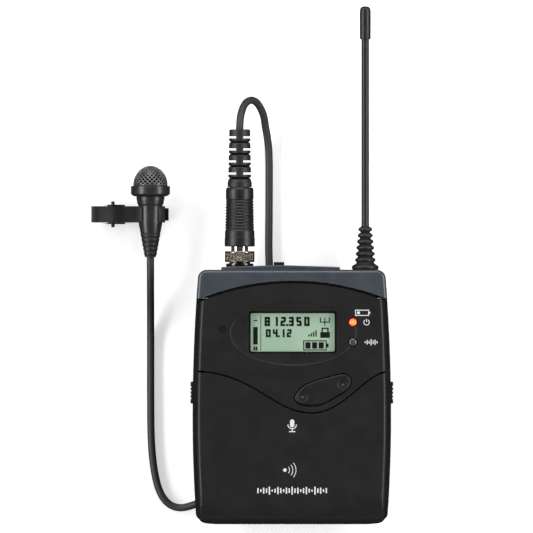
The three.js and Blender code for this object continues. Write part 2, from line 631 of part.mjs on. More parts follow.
function buildBeltClip() {
  const { y, z } = CLIP_PIVOT;
  const rest = CLIP_WIRE / 2 + 0.05;
  const corner = 5;
  const half = [
    [22.4, y, z], [24.6, y, z], [26.6, y, z], [28, y - 0.8, z - 0.05], [CLIP_X, y - 2.6, z - 0.6],
    [CLIP_X, y - 5.6, z - 2.1], [CLIP_X, y - 8.6, rest + 0.5], [CLIP_X, y - 12, rest + 0.05],
    [CLIP_X, 36, rest], [CLIP_X, 20, rest], [CLIP_X, CLIP_END_Y + corner + 1, rest],
    [CLIP_X - 0.3, CLIP_END_Y + 3, rest], [CLIP_X - 1.6, CLIP_END_Y + 1.1, rest],
    [CLIP_X - 3.4, CLIP_END_Y + 0.25, rest], [CLIP_X - corner - 1, CLIP_END_Y, rest],
    [CLIP_X / 2, CLIP_END_Y, rest],
  ];
  const other = half.map(([px, py, pz]) => [-px, py, pz]).reverse();
  piece('belt_clip', tube([...half, ...other], CLIP_WIRE, 66), STEEL);
}

// ---- microphone -------------------------------------------------------------------

function buildMicrophone() {
  const grille = [];
  const outer = { r: 5.35, base: 107.4, top: 113.5 };
  const steps = 7;
  for (let i = 0; i <= steps; i += 1) {
    const turn = (i / steps) * (Math.PI / 2);
    grille.push([outer.r * Math.cos(turn), outer.base + (outer.top - outer.base) * Math.sin(turn)]);
  }
  for (let i = steps; i >= 0; i -= 1) {
    const turn = (i / steps) * (Math.PI / 2);
    const [r, rise] = [outer.r - 0.5, outer.top - outer.base - 0.5];
    grille.push([r * Math.cos(turn), outer.base + rise * Math.sin(turn)]);
  }
  grille.push(grille[0]);
  grille[steps] = [0, outer.top];
  grille[steps + 1] = [0, outer.top - 0.5];
  piece('mic_grille', turned(grille, MIC_X, MIC_Z), BLACK_METAL);
  const ring = [
    [4.3, 103.8], [5.2, 103.8], [6.2, 104.5], [6.2, 107], [5.9, 107.1], [4.3, 107.1], [4.3, 103.8],
  ];
  piece('mic_ring', turned(ring, MIC_X, MIC_Z), BLACK_METAL);
  const body = [
    [1.9, 92.1], [3.2, 92.1], [3.6, 93.8], [MIC_BODY_R, 95.4], [MIC_BODY_R, 100.8], [4, 101.1],
    [4.35, 102.2], [4.5, 103.5], [3.9, 103.5], [3.6, 101.2], [2.6, 99.5], [1.9, 99.5], [1.9, 92.1],
  ];
  piece('mic_body', turned(body, MIC_X, MIC_Z), BLACK_METAL);
  const boot = [
    [0, 84.7], [1.9, 84.7], [2.05, 85.5], [1.8, 85.8], [2.1, 86.4], [2.35, 87.6], [2.2, 87.9],
    [2.55, 88.4], [2.75, 89.6], [2.55, 89.9], [2.9, 90.4], [3.15, 91.5], [3.15, 91.8], [0, 91.8],
  ];
  piece('mic_boot', turned(boot, MIC_X, MIC_Z), RUBBER);
  piece('mic_capsule', rodY(MIC_X, MIC_Z, 3.1, 101.6, 106.2), STEEL);
  piece('capsule_seat', rodY(MIC_X, MIC_Z, 2.4, 100, 101.3), DARK_PLASTIC);
  piece('wind_foam', turned([[0, 106.5], [4, 106.5], [4, 108.2], [3.2, 110.2], [0, 111.6]],
    MIC_X, MIC_Z, 16), RUBBER);
}

// ---- microphone clip --------------------------------------------------------------

const TIE_PLATE = 0.7;
const swap = ([x, z]) => [z, x];

function earPair(offset, thickness, radius, legs) {
  return [-1, 1].map((side) => {
    const [yLow, yHigh] = [side * offset, side * (offset + thickness)].sort((a, b) => a - b);
    const round = prismY(disc(TIE_PIN.z, TIE_PIN.x, radius), TIE_CLIP_Y + yLow, TIE_CLIP_Y + yHigh);
    const leg = prismY(polygon(legs.map(swap)), TIE_CLIP_Y + yLow, TIE_CLIP_Y + yHigh);
    return solid(round).add(solid(leg));
  });
}

function buildTieClip() {
  const [yLow, yHigh] = spread(TIE_CLIP_Y, TIE_CLIP_WIDTH);
  const pinHole = solid(prismY(disc(TIE_PIN.z, TIE_PIN.x, TIE_PIN.r + 0.2), 90, 110));

  const frontPath = [
    [-62.9, 9.5], [-63.35, 9.2], [-63.45, 8.6], [-63, 8.15], [-61.5, 7.9], [-58.6, 7.3], [-55.6, 6.3],
    [-53.2, 5.7], [-51, 5.6], [-50, 5.6], [-42, 5.6], [-41.2, 5.6], [-40.1, 5.3], [-39.5, 4.6], [-39.45, 3.8],
  ];
  const frontPlate = solid(prismY(strip(frontPath.map(swap), TIE_PLATE), yLow, yHigh));
  const holder = new THREE.Shape();
  const mouth = THREE.MathUtils.degToRad(34);
  holder.absarc(MIC_Z, MIC_X, 4.75, mouth, 2 * Math.PI - mouth);
  holder.absarc(MIC_Z, MIC_X, 3.95, 2 * Math.PI - mouth, mouth, true);
  const ring = solid(prismY(holder, TIE_CLIP_Y - 2.3, TIE_CLIP_Y + 2.3, 9));
  const frontEars = earPair(1.9, 0.5, 1.5, [[-58.3, 7.3], [-58.3, 4.8], [-55.3, 4.8], [-55.3, 6.3]]);
  piece('clip_front_jaw', cut(join(frontPlate, ring, ...frontEars), pinHole), BLACK_METAL);

  const rearPath = [
    [-62.4, 2.4], [-61.6, 2], [-59, 1.1], [-56, 0.55], [-52, 0.35], [-43, 0.35], [-41, 0.8], [-39.8, 1.8],
    [-39.45, 3],
  ];
  const rearPlate = solid(prismY(strip(rearPath.map(swap), TIE_PLATE), yLow, yHigh));
  const rearEars = earPair(2.75, 0.4, 1.9,
    [[-61.2, 2], [-60.6, 1.3], [-56, 0.3], [-51, 0.05], [-51, 1], [-54.9, 4.8], [-58.6, 4.8]]);
  const bridge = solid(block([-58.5, -53], [TIE_CLIP_Y - 3.1, TIE_CLIP_Y + 3.1], [0.3, 0.9]));
  piece('clip_rear_jaw', cut(join(rearPlate, bridge, ...rearEars), pinHole), BLACK_METAL);

  piece('clip_pin', rodY(TIE_PIN.x, TIE_PIN.z, TIE_PIN.r, TIE_CLIP_Y - 4.15, TIE_CLIP_Y + 4.15, 12),
    STEEL);
  const coil = [[0.9, -1.6], [1.45, -1.6], [1.45, 1.6], [0.9, 1.6], [0.9, -1.6]];
  piece('clip_spring', turned(coil.map(([r, y]) => [r, TIE_CLIP_Y + y]), TIE_PIN.x, TIE_PIN.z, 14),
    STEEL);
}

// ---- cord -------------------------------------------------------------------------

// From the plug the cord drops to the table in a tight hook, runs back under the case
// and meets the coil on its outer side.
const PLUG_RUN = [
  [-16.5, 124.8, 20.2], [-16.45, 126.6, 20.05], [-16.25, 128.8, 19.3], [-15.8, 130.9, 17.8],
  [-14.8, 132.8, 15.6], [-13.3, 133.8, 13.1], [-11.6, 133.3, 10.7], [-10.1, 131.5, 8.4],
  [-9.1, 129, 6.2], [-8.4, 126.2, 4.3], [-7.8, 122.8, 2.7], [-7.35, 119, 1.6], [-7.2, 115, 1.3],
  [-7.2, 100, 1.3], [-7.2, 84, 1.3], [-6.4, 75, 1.3], [-2.5, 65.5, 1.3], [4.5, 57, 1.3],
  [12.8, 49.2, 1.3], [19, 41.4, 1.3], [21.4, 34.4, 1.3],
];

// From the coil the cord climbs over the belt clip's wire, comes out beside the case,
// turns along the table and rises to the microphone.
const MIC_RUN = [
  [2, 8.4, 5], [-4, 8.3, 4.8], [-12, 8.7, 4.6], [-19, 8.5, 4.3], [-24.5, 7.8, 3.9], [-28.4, 6.8, 3.5],
  [-31.9, 5.5, 2.7], [-35.3, 4.8, 1.8], [-38.4, 5.6, 1.35], [-40.8, 7.9, 1.3], [-42.4, 11.2, 1.3],
  [-43.5, 15.6, 1.3], [-44.25, 21, 1.3], [-44.7, 28, 1.3], [-44.84, 40, 1.3], [-44.84, 52, 1.3],
  [-44.84, 60, 1.8], [-44.84, 67, 4], [-44.84, 73.5, 7.6], [-44.84, 79, 9.9], [-44.84, 82.4, 10.45],
  [-44.84, 84.4, 10.5],
];

function buildCord() {
  piece('cable_plug_run', tube(PLUG_RUN, CORD, 46), CABLE_SKIN);
  piece('cable_mic_run', tube(MIC_RUN, CORD, 34), CABLE_SKIN);
  const { x, y, middle, columns, layers, low } = COIL;
  const reach = (columns * CORD) / 2;
  const [inner, outer] = [middle - reach, middle + reach];
  const high = low + layers * CORD;
  const ring = [[inner, low], [outer, low], [outer, high], [inner, high], [inner, low]]
    .map(([r, z]) => new THREE.Vector2(r, z));
  const upright = new THREE.Matrix4().makeRotationX(Math.PI / 2);
  const coil = new THREE.LatheGeometry(ring, 32).applyMatrix4(upright).translate(x, y, 0);
  piece('cable_coil', coil, CABLE_SKIN);
  const band = { thickness: 0.4, width: 5 };
  const wrap = polygon([
    [y + inner - 0.9, 0], [y + outer + 0.5, 0], [y + outer + 0.5, high + 0.5], [y + inner - 0.9, high + 0.5],
  ]);
  wrap.holes.push(polygon([
    [y + inner - 0.5, band.thickness], [y + outer + 0.1, band.thickness],
    [y + outer + 0.1, high + 0.1], [y + inner - 0.5, high + 0.1],
  ]));
  piece('cable_tie', prismX(wrap, ...spread(x, band.width)), RUBBER);
}

buildCase();
buildControls();
buildRocker();
pushKey('set_button', SET_BUTTON);
pushKey('power_button', POWER_BUTTON);
buildMute();
buildInside();
buildBatteries();
buildPlug();
buildAntenna();
buildBeltClip();
buildMicrophone();
buildTieClip();
buildCord();

export default set;
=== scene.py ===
"""Wireless lavalier set lying flat: bodypack transmitter, clip-on microphone and their cable.

Shapes are drawn in millimetres in the bodypack's own frame (centre line x = 0, bottom edge
y = 0, table z = 0). settle() turns a finished mesh into the row frame, in metres.
"""
import math

import bmesh
import bpy
from mathutils import Matrix, Vector


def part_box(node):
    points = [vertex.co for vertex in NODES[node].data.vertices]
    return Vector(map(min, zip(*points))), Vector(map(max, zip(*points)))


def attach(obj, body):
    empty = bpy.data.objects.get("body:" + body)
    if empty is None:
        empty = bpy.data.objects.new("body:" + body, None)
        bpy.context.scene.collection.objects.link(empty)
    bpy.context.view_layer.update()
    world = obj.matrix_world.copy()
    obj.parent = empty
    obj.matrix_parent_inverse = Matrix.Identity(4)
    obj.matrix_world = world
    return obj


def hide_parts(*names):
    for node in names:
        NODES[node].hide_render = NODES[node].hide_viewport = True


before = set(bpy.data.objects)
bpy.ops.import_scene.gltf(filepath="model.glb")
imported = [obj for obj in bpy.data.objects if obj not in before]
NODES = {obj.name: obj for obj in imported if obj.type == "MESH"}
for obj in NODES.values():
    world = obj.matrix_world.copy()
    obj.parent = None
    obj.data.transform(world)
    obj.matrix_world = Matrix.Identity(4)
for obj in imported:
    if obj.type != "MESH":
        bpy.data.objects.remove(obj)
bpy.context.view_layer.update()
ROOT = "transmitter"
MM = 0.001

# ---- the bodypack's frame, and sizes that several pieces share -----------------------------

CASE_LOW, CASE_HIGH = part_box("rear_housing")
CASE_X = (CASE_LOW[0] + CASE_HIGH[0]) / 2
CASE_Y = CASE_LOW[1]
BACK, FRONT = 8.6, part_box("top_cap")[1][2] / MM
SPLIT = FRONT - 5
WALL, GAP, FRONT_INSET = 1.6, 0.3, 1.3
HALF_WIDTH, WAIST_Y, SHOULDER_Y, CASE_TOP = 31.4, 34, 71.5, 80.5
AXIS_Z, PLUG_X, ANTENNA_X = 20.2, -16.5, 23.27
MIC_X, MIC_Z = -44.84, 10.5
PLUG, ANTENNA, MIC = (PLUG_X, AXIS_Z), (ANTENNA_X, AXIS_Z), (MIC_X, MIC_Z)
HINGE_Y, HINGE_Z = 1.9, SPLIT - 4.6
LED_X, POWER_Y, PEAK_Y = 19.3, 63.9, 57.6
QUARTER = math.pi / 2
ACROSS = (-40, 40)
WHITE = (1, 1, 1, 1)


def row(point):
    """A point in the bodypack's frame, in mm, as a row-frame point in metres."""
    x, y, z = point
    return Vector((CASE_X + x * MM, CASE_Y + y * MM, z * MM))


def add(name, data):
    """A new object in the scene."""
    thing = bpy.data.objects.new(name, data)
    bpy.context.scene.collection.objects.link(thing)
    return thing


# ---- camera, floor and light ---------------------------------------------------------------

PHOTO_CENTRE, PHOTO_WIDTH = (-8.01, 81.53), 168.43
CAMERA_HEIGHT = 5.0


def build_camera():
    data = bpy.data.cameras.new("camera")
    data.sensor_width = 36
    data.lens = 36 * (CAMERA_HEIGHT - FRONT * MM) / (PHOTO_WIDTH * MM)
    data.clip_start, data.clip_end = 0.1, 20
    camera = add("camera", data)
    camera.location = row((*PHOTO_CENTRE, CAMERA_HEIGHT / MM))
    bpy.context.scene.camera = camera


def area_light(name, place, size, watts):
    """A rectangular softbox turned to the set."""
    data = bpy.data.lights.new(name, "AREA")
    data.shape, data.energy = "RECTANGLE", watts
    data.size, data.size_y = size
    light = add(name, data)
    light.location = place
    light.rotation_euler = (-Vector(place)).to_track_quat("-Z", "Y").to_euler()


def build_floor():
    """White studio paper that the camera sees and that throws no light back on the set."""
    reach, drop = 60, -0.0003
    mesh = bpy.data.meshes.new("floor")
    corners = [(-reach, -reach), (reach, -reach), (reach, reach), (-reach, reach)]
    mesh.from_pydata([(x, y, drop) for x, y in corners], [], [(0, 1, 2, 3)])
    floor = add("floor", mesh)
    for ray in ("diffuse", "glossy", "transmission", "shadow"):
        setattr(floor, f"visible_{ray}", False)
    Finish("floor_paper", (0.75, 0.75, 0.75, 1), 0.9, Specular_IOR_Level=0.0, Emission_Color=WHITE,
           Emission_Strength=0.5)
    mesh.materials.append(FINISHES["floor_paper"])


def build_stage():
    world = bpy.context.scene.world = bpy.data.worlds.new("studio")
    world.use_nodes = True
    sky = world.node_tree.nodes["Background"].inputs
    sky["Color"].default_value = WHITE
    sky["Strength"].default_value = 0.07
    area_light("left_softbox", (-0.6, 0.05, 0.42), (1.1, 0.17), 6.4)
    area_light("right_softbox", (0.6, 0.0, 0.42), (1.1, 0.17), 5.6)
    area_light("top_softbox", (0, 0.8, 0.42), (0.8, 0.26), 4.2)
    area_light("low_softbox", (0, -0.8, 0.35), (0.8, 0.2), 0.3)
    build_floor()
    bpy.context.scene.view_settings.view_transform = "Standard"


# ---- finishes ------------------------------------------------------------------------------

FINISHES = {}


def linear(colour):
    """Linear RGBA of a hex sRGB colour; RGBA itself is passed through."""
    if isinstance(colour, tuple):
        return colour
    parts = [int(colour[i:i + 2], 16) / 255 for i in (0, 2, 4)]
    return tuple(((c + 0.055) / 1.055) ** 2.4 if c > 0.04045 else c / 12.92 for c in parts) + (1,)


class Finish:
    """A Principled material; its helpers for looks can be chained. Lengths are in mm."""

    def __init__(self, name, colour, roughness, metallic=0.0, **inputs):
        FINISHES[name] = material = bpy.data.materials.new(name)
        material.use_nodes = True
        self.tree = material.node_tree
        self.shader = self.tree.nodes["Principled BSDF"]
        self.base = self.colour = linear(colour)
        self.roughness, self.relief = roughness, None
        self.set(Base_Color=self.base, Roughness=roughness, Metallic=metallic, **inputs)

    def feed(self, socket, source):
        """Links another node's output to a socket, or sets a plain value."""
        if isinstance(source, bpy.types.NodeSocket):
            self.tree.links.new(source, socket)
        else:
            socket.default_value = source

    def set(self, **inputs):
        """Feeds the shader's inputs; an underscore stands for a space."""
        for name, source in inputs.items():
            self.feed(self.shader.inputs[name.replace("_", " ")], source)

    def node(self, kind, *sources, **settings):
        """A new node: its properties or named inputs set, then its inputs in order."""
        node = self.tree.nodes.new("ShaderNode" + kind)
        for key, value in settings.items():
            if hasattr(node, key):
                setattr(node, key, value)
            else:
                self.feed(node.inputs[key.replace("_", " ")], value)
        for socket, source in zip(node.inputs, sources):
            self.feed(socket, source)
        return node

    def place(self, stretch=(1, 1, 1)):
        """Object coordinates in mm, stretched."""
        place = self.node("TexCoord").outputs["Object"]
        return self.node("VectorMath", place, [s / MM for s in stretch], operation="MULTIPLY").outputs[0]

    def away(self, point, stretch=(1, 1, 1)):
        """Distance from a point in the row frame, in mm."""
        return self.node("VectorMath", self.place(stretch), point, operation="DISTANCE").outputs["Value"]

    def noise(self, size, detail=3.0, stretch=(1, 1, 1)):
        return self.node("TexNoise", Vector=self.place(stretch), Scale=1 / size, Detail=detail).outputs["Fac"]

    def spots(self, size):
        return self.node("TexVoronoi", Vector=self.place(), Scale=1 / size).outputs["Distance"]

    def ramp(self, fac, low, high, out_low=0.0, out_high=1.0):
        return self.node("MapRange", fac, low, high, out_low, out_high).outputs[0]

    def tint(self, fac, colour):
        """Mixes a colour over what there is, by fac."""
        mix = self.node("Mix", fac, data_type="RGBA")
        self.feed(mix.inputs[6], self.colour)
        self.feed(mix.inputs[7], linear(colour))
        self.colour = mix.outputs[2]
        self.set(Base_Color=self.colour)
        return self

    def patches(self, colour, size, detail, low, high, amount):
        """Noise patches of a colour, none where the noise is at low and amount where it is at high."""
        return self.tint(self.ramp(self.noise(size, detail), low, high, 0, amount), colour)

    def height(self, fac, depth):
        """Adds relief, depth in mm from fac 0 to fac 1."""
        bump = self.node("Bump", Strength=1.0, Distance=depth * MM, Height=fac)
        if self.relief:
            self.feed(bump.inputs["Normal"], self.relief)
        self.relief = bump.outputs[0]
        self.set(Normal=self.relief)
        return self

    def grain(self, size, depth, detail=2.0, stretch=(1, 1, 1)):
        return self.height(self.noise(size, detail, stretch), depth)

    def vary(self, size, roughness, shade, stretch=(1, 1, 1)):
        """Uneven gloss, and patches a little lighter than the colour."""
        patches = self.noise(size, 4.0, stretch)
        low, high = self.roughness - roughness, self.roughness + roughness
        self.set(Roughness=self.ramp(patches, 0.3, 0.7, low, high))
        lighter = tuple(min(1, c * (1 + 2 * shade)) for c in self.base[:3]) + (1,)
        return self.tint(self.ramp(patches, 0.35, 0.75), lighter)

    def wear(self, colour, amount):
        """Rubbed edges: a tint within 0.22 mm of a sharp edge, broken up by noise."""
        rounded = self.node("Bevel", samples=4, Radius=0.22 * MM).outputs[0]
        flat = self.node("NewGeometry").outputs["True Normal"]
        agree = self.node("VectorMath", rounded, flat, operation="DOT_PRODUCT").outputs["Value"]
        edge, breakup = self.ramp(agree, 0.99, 0.86), self.ramp(self.noise(1.5, 5.0), 0.3, 0.6)
        both = self.node("Math", edge, breakup, operation="MULTIPLY").outputs[0]
        return self.tint(self.ramp(both, 0, 1, 0, amount), colour)


def moulded_plastic(name, colour, roughness, grain, depth):
    finish = Finish(name, colour, roughness, Specular_IOR_Level=0.36).vary(6, 0.04, 0.06)
    finish.grain(grain, depth).grain(9, 0.05).wear("6b6b6b", 0.22)


def rubber_like(name, colour, roughness):
    Finish(name, colour, roughness).vary(3, 0.05, 0.08).grain(0.12, 0.01, 3.0).wear("777777", 0.15)


def metal(name, colour, roughness, stretch=(1, 1, 1), worn="f4f0e8", metallic=1.0):
    """Metal, or paint over metal, brushed across the axis that stretch shortens."""
    finish = Finish(name, colour, roughness, metallic).vary(1.2, 0.05, 0.04, stretch)
    finish.grain(0.15, 0.004, 2.0, stretch).wear(worn, 0.4)


def unlit_lens(name, colour):
    Finish(name, colour, 0.2, Coat_Weight=0.6, Coat_Roughness=0.08).vary(0.8, 0.08, 0.2).grain(0.4, 0.01)


def knurled_nickel():
    """Nickel with painted shade in the bottom of the knurling, told by the distance from the plug's axis."""
    finish = Finish("knurled_nickel", "b5a999", 0.26, 1.0).vary(1.2, 0.05, 0.04)
    middle = row((PLUG_X, 0, AXIS_Z))
    away = finish.away((middle[0] / MM, 0, middle[2] / MM), (1, 0, 1))
    # Painted shade: a dark tint in the knurl grooves, strongest nearest the axis.
    finish.tint(finish.ramp(away, 4.68, 4.5), "2e2a26").grain(0.15, 0.004)


def cap_paint():
    """Blue-grey paint with fine metal flakes under a thin clear coat."""
    finish = Finish("cap_paint", "42474e", 0.36, 0.25, Coat_Weight=0.25, Coat_Roughness=0.25)
    flakes = finish.vary(5, 0.05, 0.1).ramp(finish.spots(0.12), 0.1, 0.0, 0, 0.4)
    finish.tint(flakes, "8b93a0").grain(0.3, 0.006).wear("aab4c2", 0.4)


def window_glass():
    finish = Finish("window_glass", "1c201c", 0.06, Alpha=0.08).grain(12, 0.02, 1.0)
    finish.set(Roughness=finish.ramp(finish.noise(4, 4.0), 0.4, 0.7, 0.04, 0.16))


def display_glow():
    """Backlit display: green-grey, a faint grid of cells, a little brighter in patches."""
    finish = Finish("display_glow", "8fa892", 0.4, Emission_Strength=0.52)
    grid = finish.node("TexBrick", Vector=finish.place(), Scale=1 / 0.32, offset=0.0, Mortar_Size=0.06,
                       Brick_Width=0.5, Row_Height=0.5, Color1=WHITE, Color2=(0.97, 0.97, 0.97, 1),
                       Mortar=(0.8, 0.8, 0.8, 1))
    finish.tint(finish.ramp(grid.outputs["Fac"], 0, 1, 0, 0.5), "7f9983")
    finish.patches("a3b9a3", 14, 1.0, 0.4, 0.7, 0.4).set(Emission_Color=finish.colour)


def red_lens():
    """A lamp that is on: a hot orange middle and a red rim."""
    finish = Finish("red_lens", "c8230c", 0.2, Emission_Strength=0.9, Coat_Weight=0.6)
    away = finish.away([c / MM for c in row((LED_X, POWER_Y, FRONT))])
    finish.tint(finish.ramp(away, 1.25, 0.3), "ff9a4a").grain(0.5, 0.01)
    finish.set(Roughness=finish.ramp(finish.noise(0.8, 2.0), 0.3, 0.7, 0.15, 0.25),
               Emission_Color=finish.colour)


def green_board():
    """Circuit board with tracks and gold pads."""
    finish = Finish("green_board", "1c5034", 0.4).vary(4, 0.08, 0.2)
    tracks = finish.node("TexBrick", Vector=finish.place(), Scale=1 / 2.4, Mortar_Size=0.04).outputs["Fac"]
    finish.tint(finish.ramp(tracks, 0, 1, 0, 0.7), "3f8a58").height(tracks, 0.03)
    finish.tint(finish.ramp(finish.spots(1.6), 0.22, 0.18, 0, 0.9), "c9a860")


def cell_wrap():
    """Printed battery sleeve: dark wrap with a copper band at one end."""
    finish = Finish("cell_wrap", "4d565f", 0.32, 0.2, Coat_Weight=0.4).vary(5, 0.06, 0.1, (0.2, 1, 1))
    along, middle = finish.node("SeparateXYZ", finish.place()).outputs["X"], CASE_X / MM
    band = finish.ramp(along, middle + 13.9, middle + 14.1)
    finish.tint(band, "b27a4a").grain(0.4, 0.01).wear("c8c8c8", 0.3)


def wind_foam():
    finish = Finish("wind_foam", "060607", 0.95)
    cells = finish.spots(0.35)
    finish.tint(finish.ramp(cells, 0.1, 0.6), "0b0b0b").height(cells, -0.15)


def build_finishes():
    moulded_plastic("black_plastic", "1b1b1c", 0.42, 0.22, 0.012)
    moulded_plastic("dark_plastic", "131314", 0.5, 0.3, 0.02)
    rubber_like("rubber", "161617", 0.42)
    rubber_like("soft_boot", "1c1c1d", 0.5)
    metal("nickel", "a3978a", 0.38)
    metal("dark_nickel", "5b5650", 0.22)
    metal("chrome", "d9d6d0", 0.1)
    metal("steel", "a9abad", 0.3, (0.2, 1, 1))
    metal("jaw_metal", "343435", 0.45, (1, 0.3, 1), "8a8a8d", 0.35)
    metal("black_metal", "3c3c3e", 0.34, (1, 0.3, 1), "8a8a8d", 0.6)
    metal("mesh_metal", "7c7c7e", 0.34, (1, 1, 1), "a8a8ab", 0.75)
    unlit_lens("grey_lens", "3c3d40")
    unlit_lens("ir_glass", "1a1416")
    for build in (cap_paint, knurled_nickel, window_glass, display_glow, red_lens, green_board, cell_wrap,
                  wind_foam):
        build()
    jacket = Finish("cable_jacket", "303032", 0.55).vary(2.5, 0.05, 0.08).grain(0.35, 0.012, 3.0)
    jacket.patches("5c5c5c", 0.5, 5.0, 0.68, 0.8, 0.2)
    Finish("white_print", "d9d9d9", 0.5).vary(0.6, 0.1, 0.05).patches("8c8c8c", 0.25, 4.0, 0.62, 0.72, 0.6)
    Finish("faint_print", "4a4a4b", 0.5).vary(0.6, 0.1, 0.1)
    Finish("lcd_ink", "0c120e", 0.4).vary(2, 0.05, 0.2)


# ---- mesh helpers: outlines and profiles in mm ---------------------------------------------

def loft(loops, closed=False):
    """A solid through loops with as many points each; closed joins the last loop to the first."""
    count, rings = len(loops[0]), len(loops)
    faces = []
    for j in range(rings if closed else rings - 1):
        low, high = j * count, (j + 1) % rings * count
        faces += [(low + i, low + (i + 1) % count, high + (i + 1) % count, high + i) for i in range(count)]
    if not closed:
        faces += [tuple(range(count))[::-1], tuple(range((rings - 1) * count, rings * count))]
    return solid([p for loop in loops for p in loop], faces)


def solid(points, faces):
    """One object from points in mm and faces, its normals out."""
    mesh = bpy.data.meshes.new("solid")
    mesh.from_pydata([tuple(p) for p in points], [], faces)
    work = bmesh.new()
    work.from_mesh(mesh)
    bmesh.ops.remove_doubles(work, verts=work.verts, dist=1e-5)
    bmesh.ops.recalc_face_normals(work, faces=work.faces)
    work.to_mesh(mesh)
    work.free()
    return add("solid", mesh)


def between(start, end, steps):
    """steps + 1 even values from start to end."""
    return [start + (end - start) * i / steps for i in range(steps + 1)]


def arc(u, v, radius, turns):
    return [(u + radius * math.cos(t), v + radius * math.sin(t)) for t in turns]


def disc(u, v, radius, sides=32):
    return arc(u, v, radius, between(0, 2 * math.pi, sides)[:-1])


def spread(middle, size):
    return (middle - size / 2, middle + size / 2)


def on_side(side, near, far):
    """A range on the left (side -1) or right (side 1) of zero."""
    return sorted((side * near, side * far))


def rounded_rectangle(x, y, width, height, corner, steps=6):
    points = []
    for quarter, (sx, sy) in enumerate(((1, -1), (1, 1), (-1, 1), (-1, -1))):
        turns = [QUARTER * (quarter - 1 + i / steps) for i in range(steps + 1)]
        points += arc(x + sx * (width / 2 - corner), y + sy * (height / 2 - corner), corner, turns)
    return points


def shrink(outline, inset):
    """A closed outline moved inwards (it runs anticlockwise)."""
    if not inset:
        return outline
    moved = []
    for i, (x, y) in enumerate(outline):
        (ax, ay), (bx, by) = outline[i - 1], outline[(i + 1) % len(outline)]
        first, second = Vector((x - ax, y - ay)).normalized(), Vector((bx - x, by - y)).normalized()
        way = (first + second).normalized()
        miter = max(0.5, way.dot(first))
        moved.append((x - way.y * inset / miter, y + way.x * inset / miter))
    return moved


def rims(low, high, round_low, round_high, steps):
    """(height, inset) pairs from low to high with quarter-round rims."""
    curve = [(1 - math.cos(t), 1 - math.sin(t)) for t in between(0, QUARTER, steps)[:-1]]
    stations = [(low + round_low * up, round_low * aside) for up, aside in curve if round_low]
    stations += [(low + round_low, 0), (high - round_high, 0)]
    return stations + [(high - round_high * up, round_high * aside)
                       for up, aside in reversed(curve) if round_high]


def prism(outline, low, high, round_low=0.0, round_high=0.0, steps=4, axis="Z"):
    """An outline, or a function that gives it for an inset, drawn out along an axis."""
    loops = []
    for height, inset in rims(low, high, round_low, round_high, steps):
        loop = outline(inset) if callable(outline) else shrink(outline, inset)
        loops.append([{"Z": (u, v, height), "X": (height, u, v), "Y": (v, height, u)}[axis] for u, v in loop])
    return loft(loops)


def peg(x, y, radius, low, high, sides=40):
    """A round bar, or the tool for a round hole, along z."""
    return prism(disc(x, y, radius, sides), low, high)


def block(xs, ys, zs):
    return prism([(xs[0], ys[0]), (xs[1], ys[0]), (xs[1], ys[1]), (xs[0], ys[1])], *zs)


def soften(points, radius, steps=3, closed=False):
    """A line of points with its corners rounded off."""
    soft, last = [], len(points) - 1
    for i, point in enumerate(points):
        here = Vector(point)
        if not closed and i in (0, last):
            soft.append(tuple(here))
            continue
        before, after = Vector(points[i - 1]) - here, Vector(points[(i + 1) % (last + 1)]) - here
        reach = min(radius, 0.45 * before.length, 0.45 * after.length)
        start, end = here + before.normalized() * reach, here + after.normalized() * reach
        soft += [tuple(start.lerp(here, t).lerp(here.lerp(end, t), t)) for t in between(0, 1, steps)]
    return soft


def lathe(profile, axis=(0, 0), sides=64, closed=False, wobble=None):
    """A profile of (radius, y) turned about the line x, z. wobble(angle, y, radius) changes radii."""
    (x, z), points, rings, faces = axis, [], [], []
    for radius, y in profile:
        if radius < 1e-6:
            rings.append([len(points)])
            points.append((x, y, z))
            continue
        rings.append(list(range(len(points), len(points) + sides)))
        for turn in between(0, 2 * math.pi, sides)[:-1]:
            r = wobble(turn, y, radius) if wobble else radius
            points.append((x + r * math.cos(turn), y, z + r * math.sin(turn)))
    for low, high in list(zip(rings, rings[1:])) + ([(rings[-1], rings[0])] if closed else []):
        for i in range(sides):
            k = (i + 1) % sides
            corners = [low[i % len(low)], low[k % len(low)], high[k % len(high)], high[i % len(high)]]
            corners = tuple(dict.fromkeys(corners))
            if len(corners) > 2:
                faces.append(corners)
    return solid(points, faces)


def tube(path, radius, sides=16):
    """A round rod along a path, its section kept from twisting."""
    path = [Vector(p) for p in path]
    loops, across = [], None
    for i, point in enumerate(path):
        way = (path[min(i + 1, len(path) - 1)] - path[max(i - 1, 0)]).normalized()
        across = across or way.orthogonal()
        across = (across - way * across.dot(way)).normalized()
        up = way.cross(across)
        loops.append([point + radius * (c * across + s * up) for c, s in disc(0, 0, 1, sides)])
    return loft(loops)


def smooth_path(points, step=0.6):
    """A centripetal Catmull-Rom curve through the points, sampled about every step mm."""
    knots = [Vector(p) for p in points]
    knots = [2 * knots[0] - knots[1], *knots, 2 * knots[-1] - knots[-2]]
    path = []
    for a, b, c, d in zip(knots, knots[1:], knots[2:], knots[3:]):
        t1 = (b - a).length ** 0.5
        t2 = t1 + (c - b).length ** 0.5
        t3 = t2 + (d - c).length ** 0.5
        for t in between(t1, t2, max(1, round((c - b).length / step)))[:-1]:
            ab, bc = a.lerp(b, t / t1), b.lerp(c, (t - t1) / (t2 - t1))
            cd = c.lerp(d, (t - t2) / (t3 - t2))
            left, right = ab.lerp(bc, t / t2), bc.lerp(cd, (t - t1) / (t3 - t1))
            path.append(left.lerp(right, (t - t1) / (t2 - t1)))
    return [*path, knots[-2]]


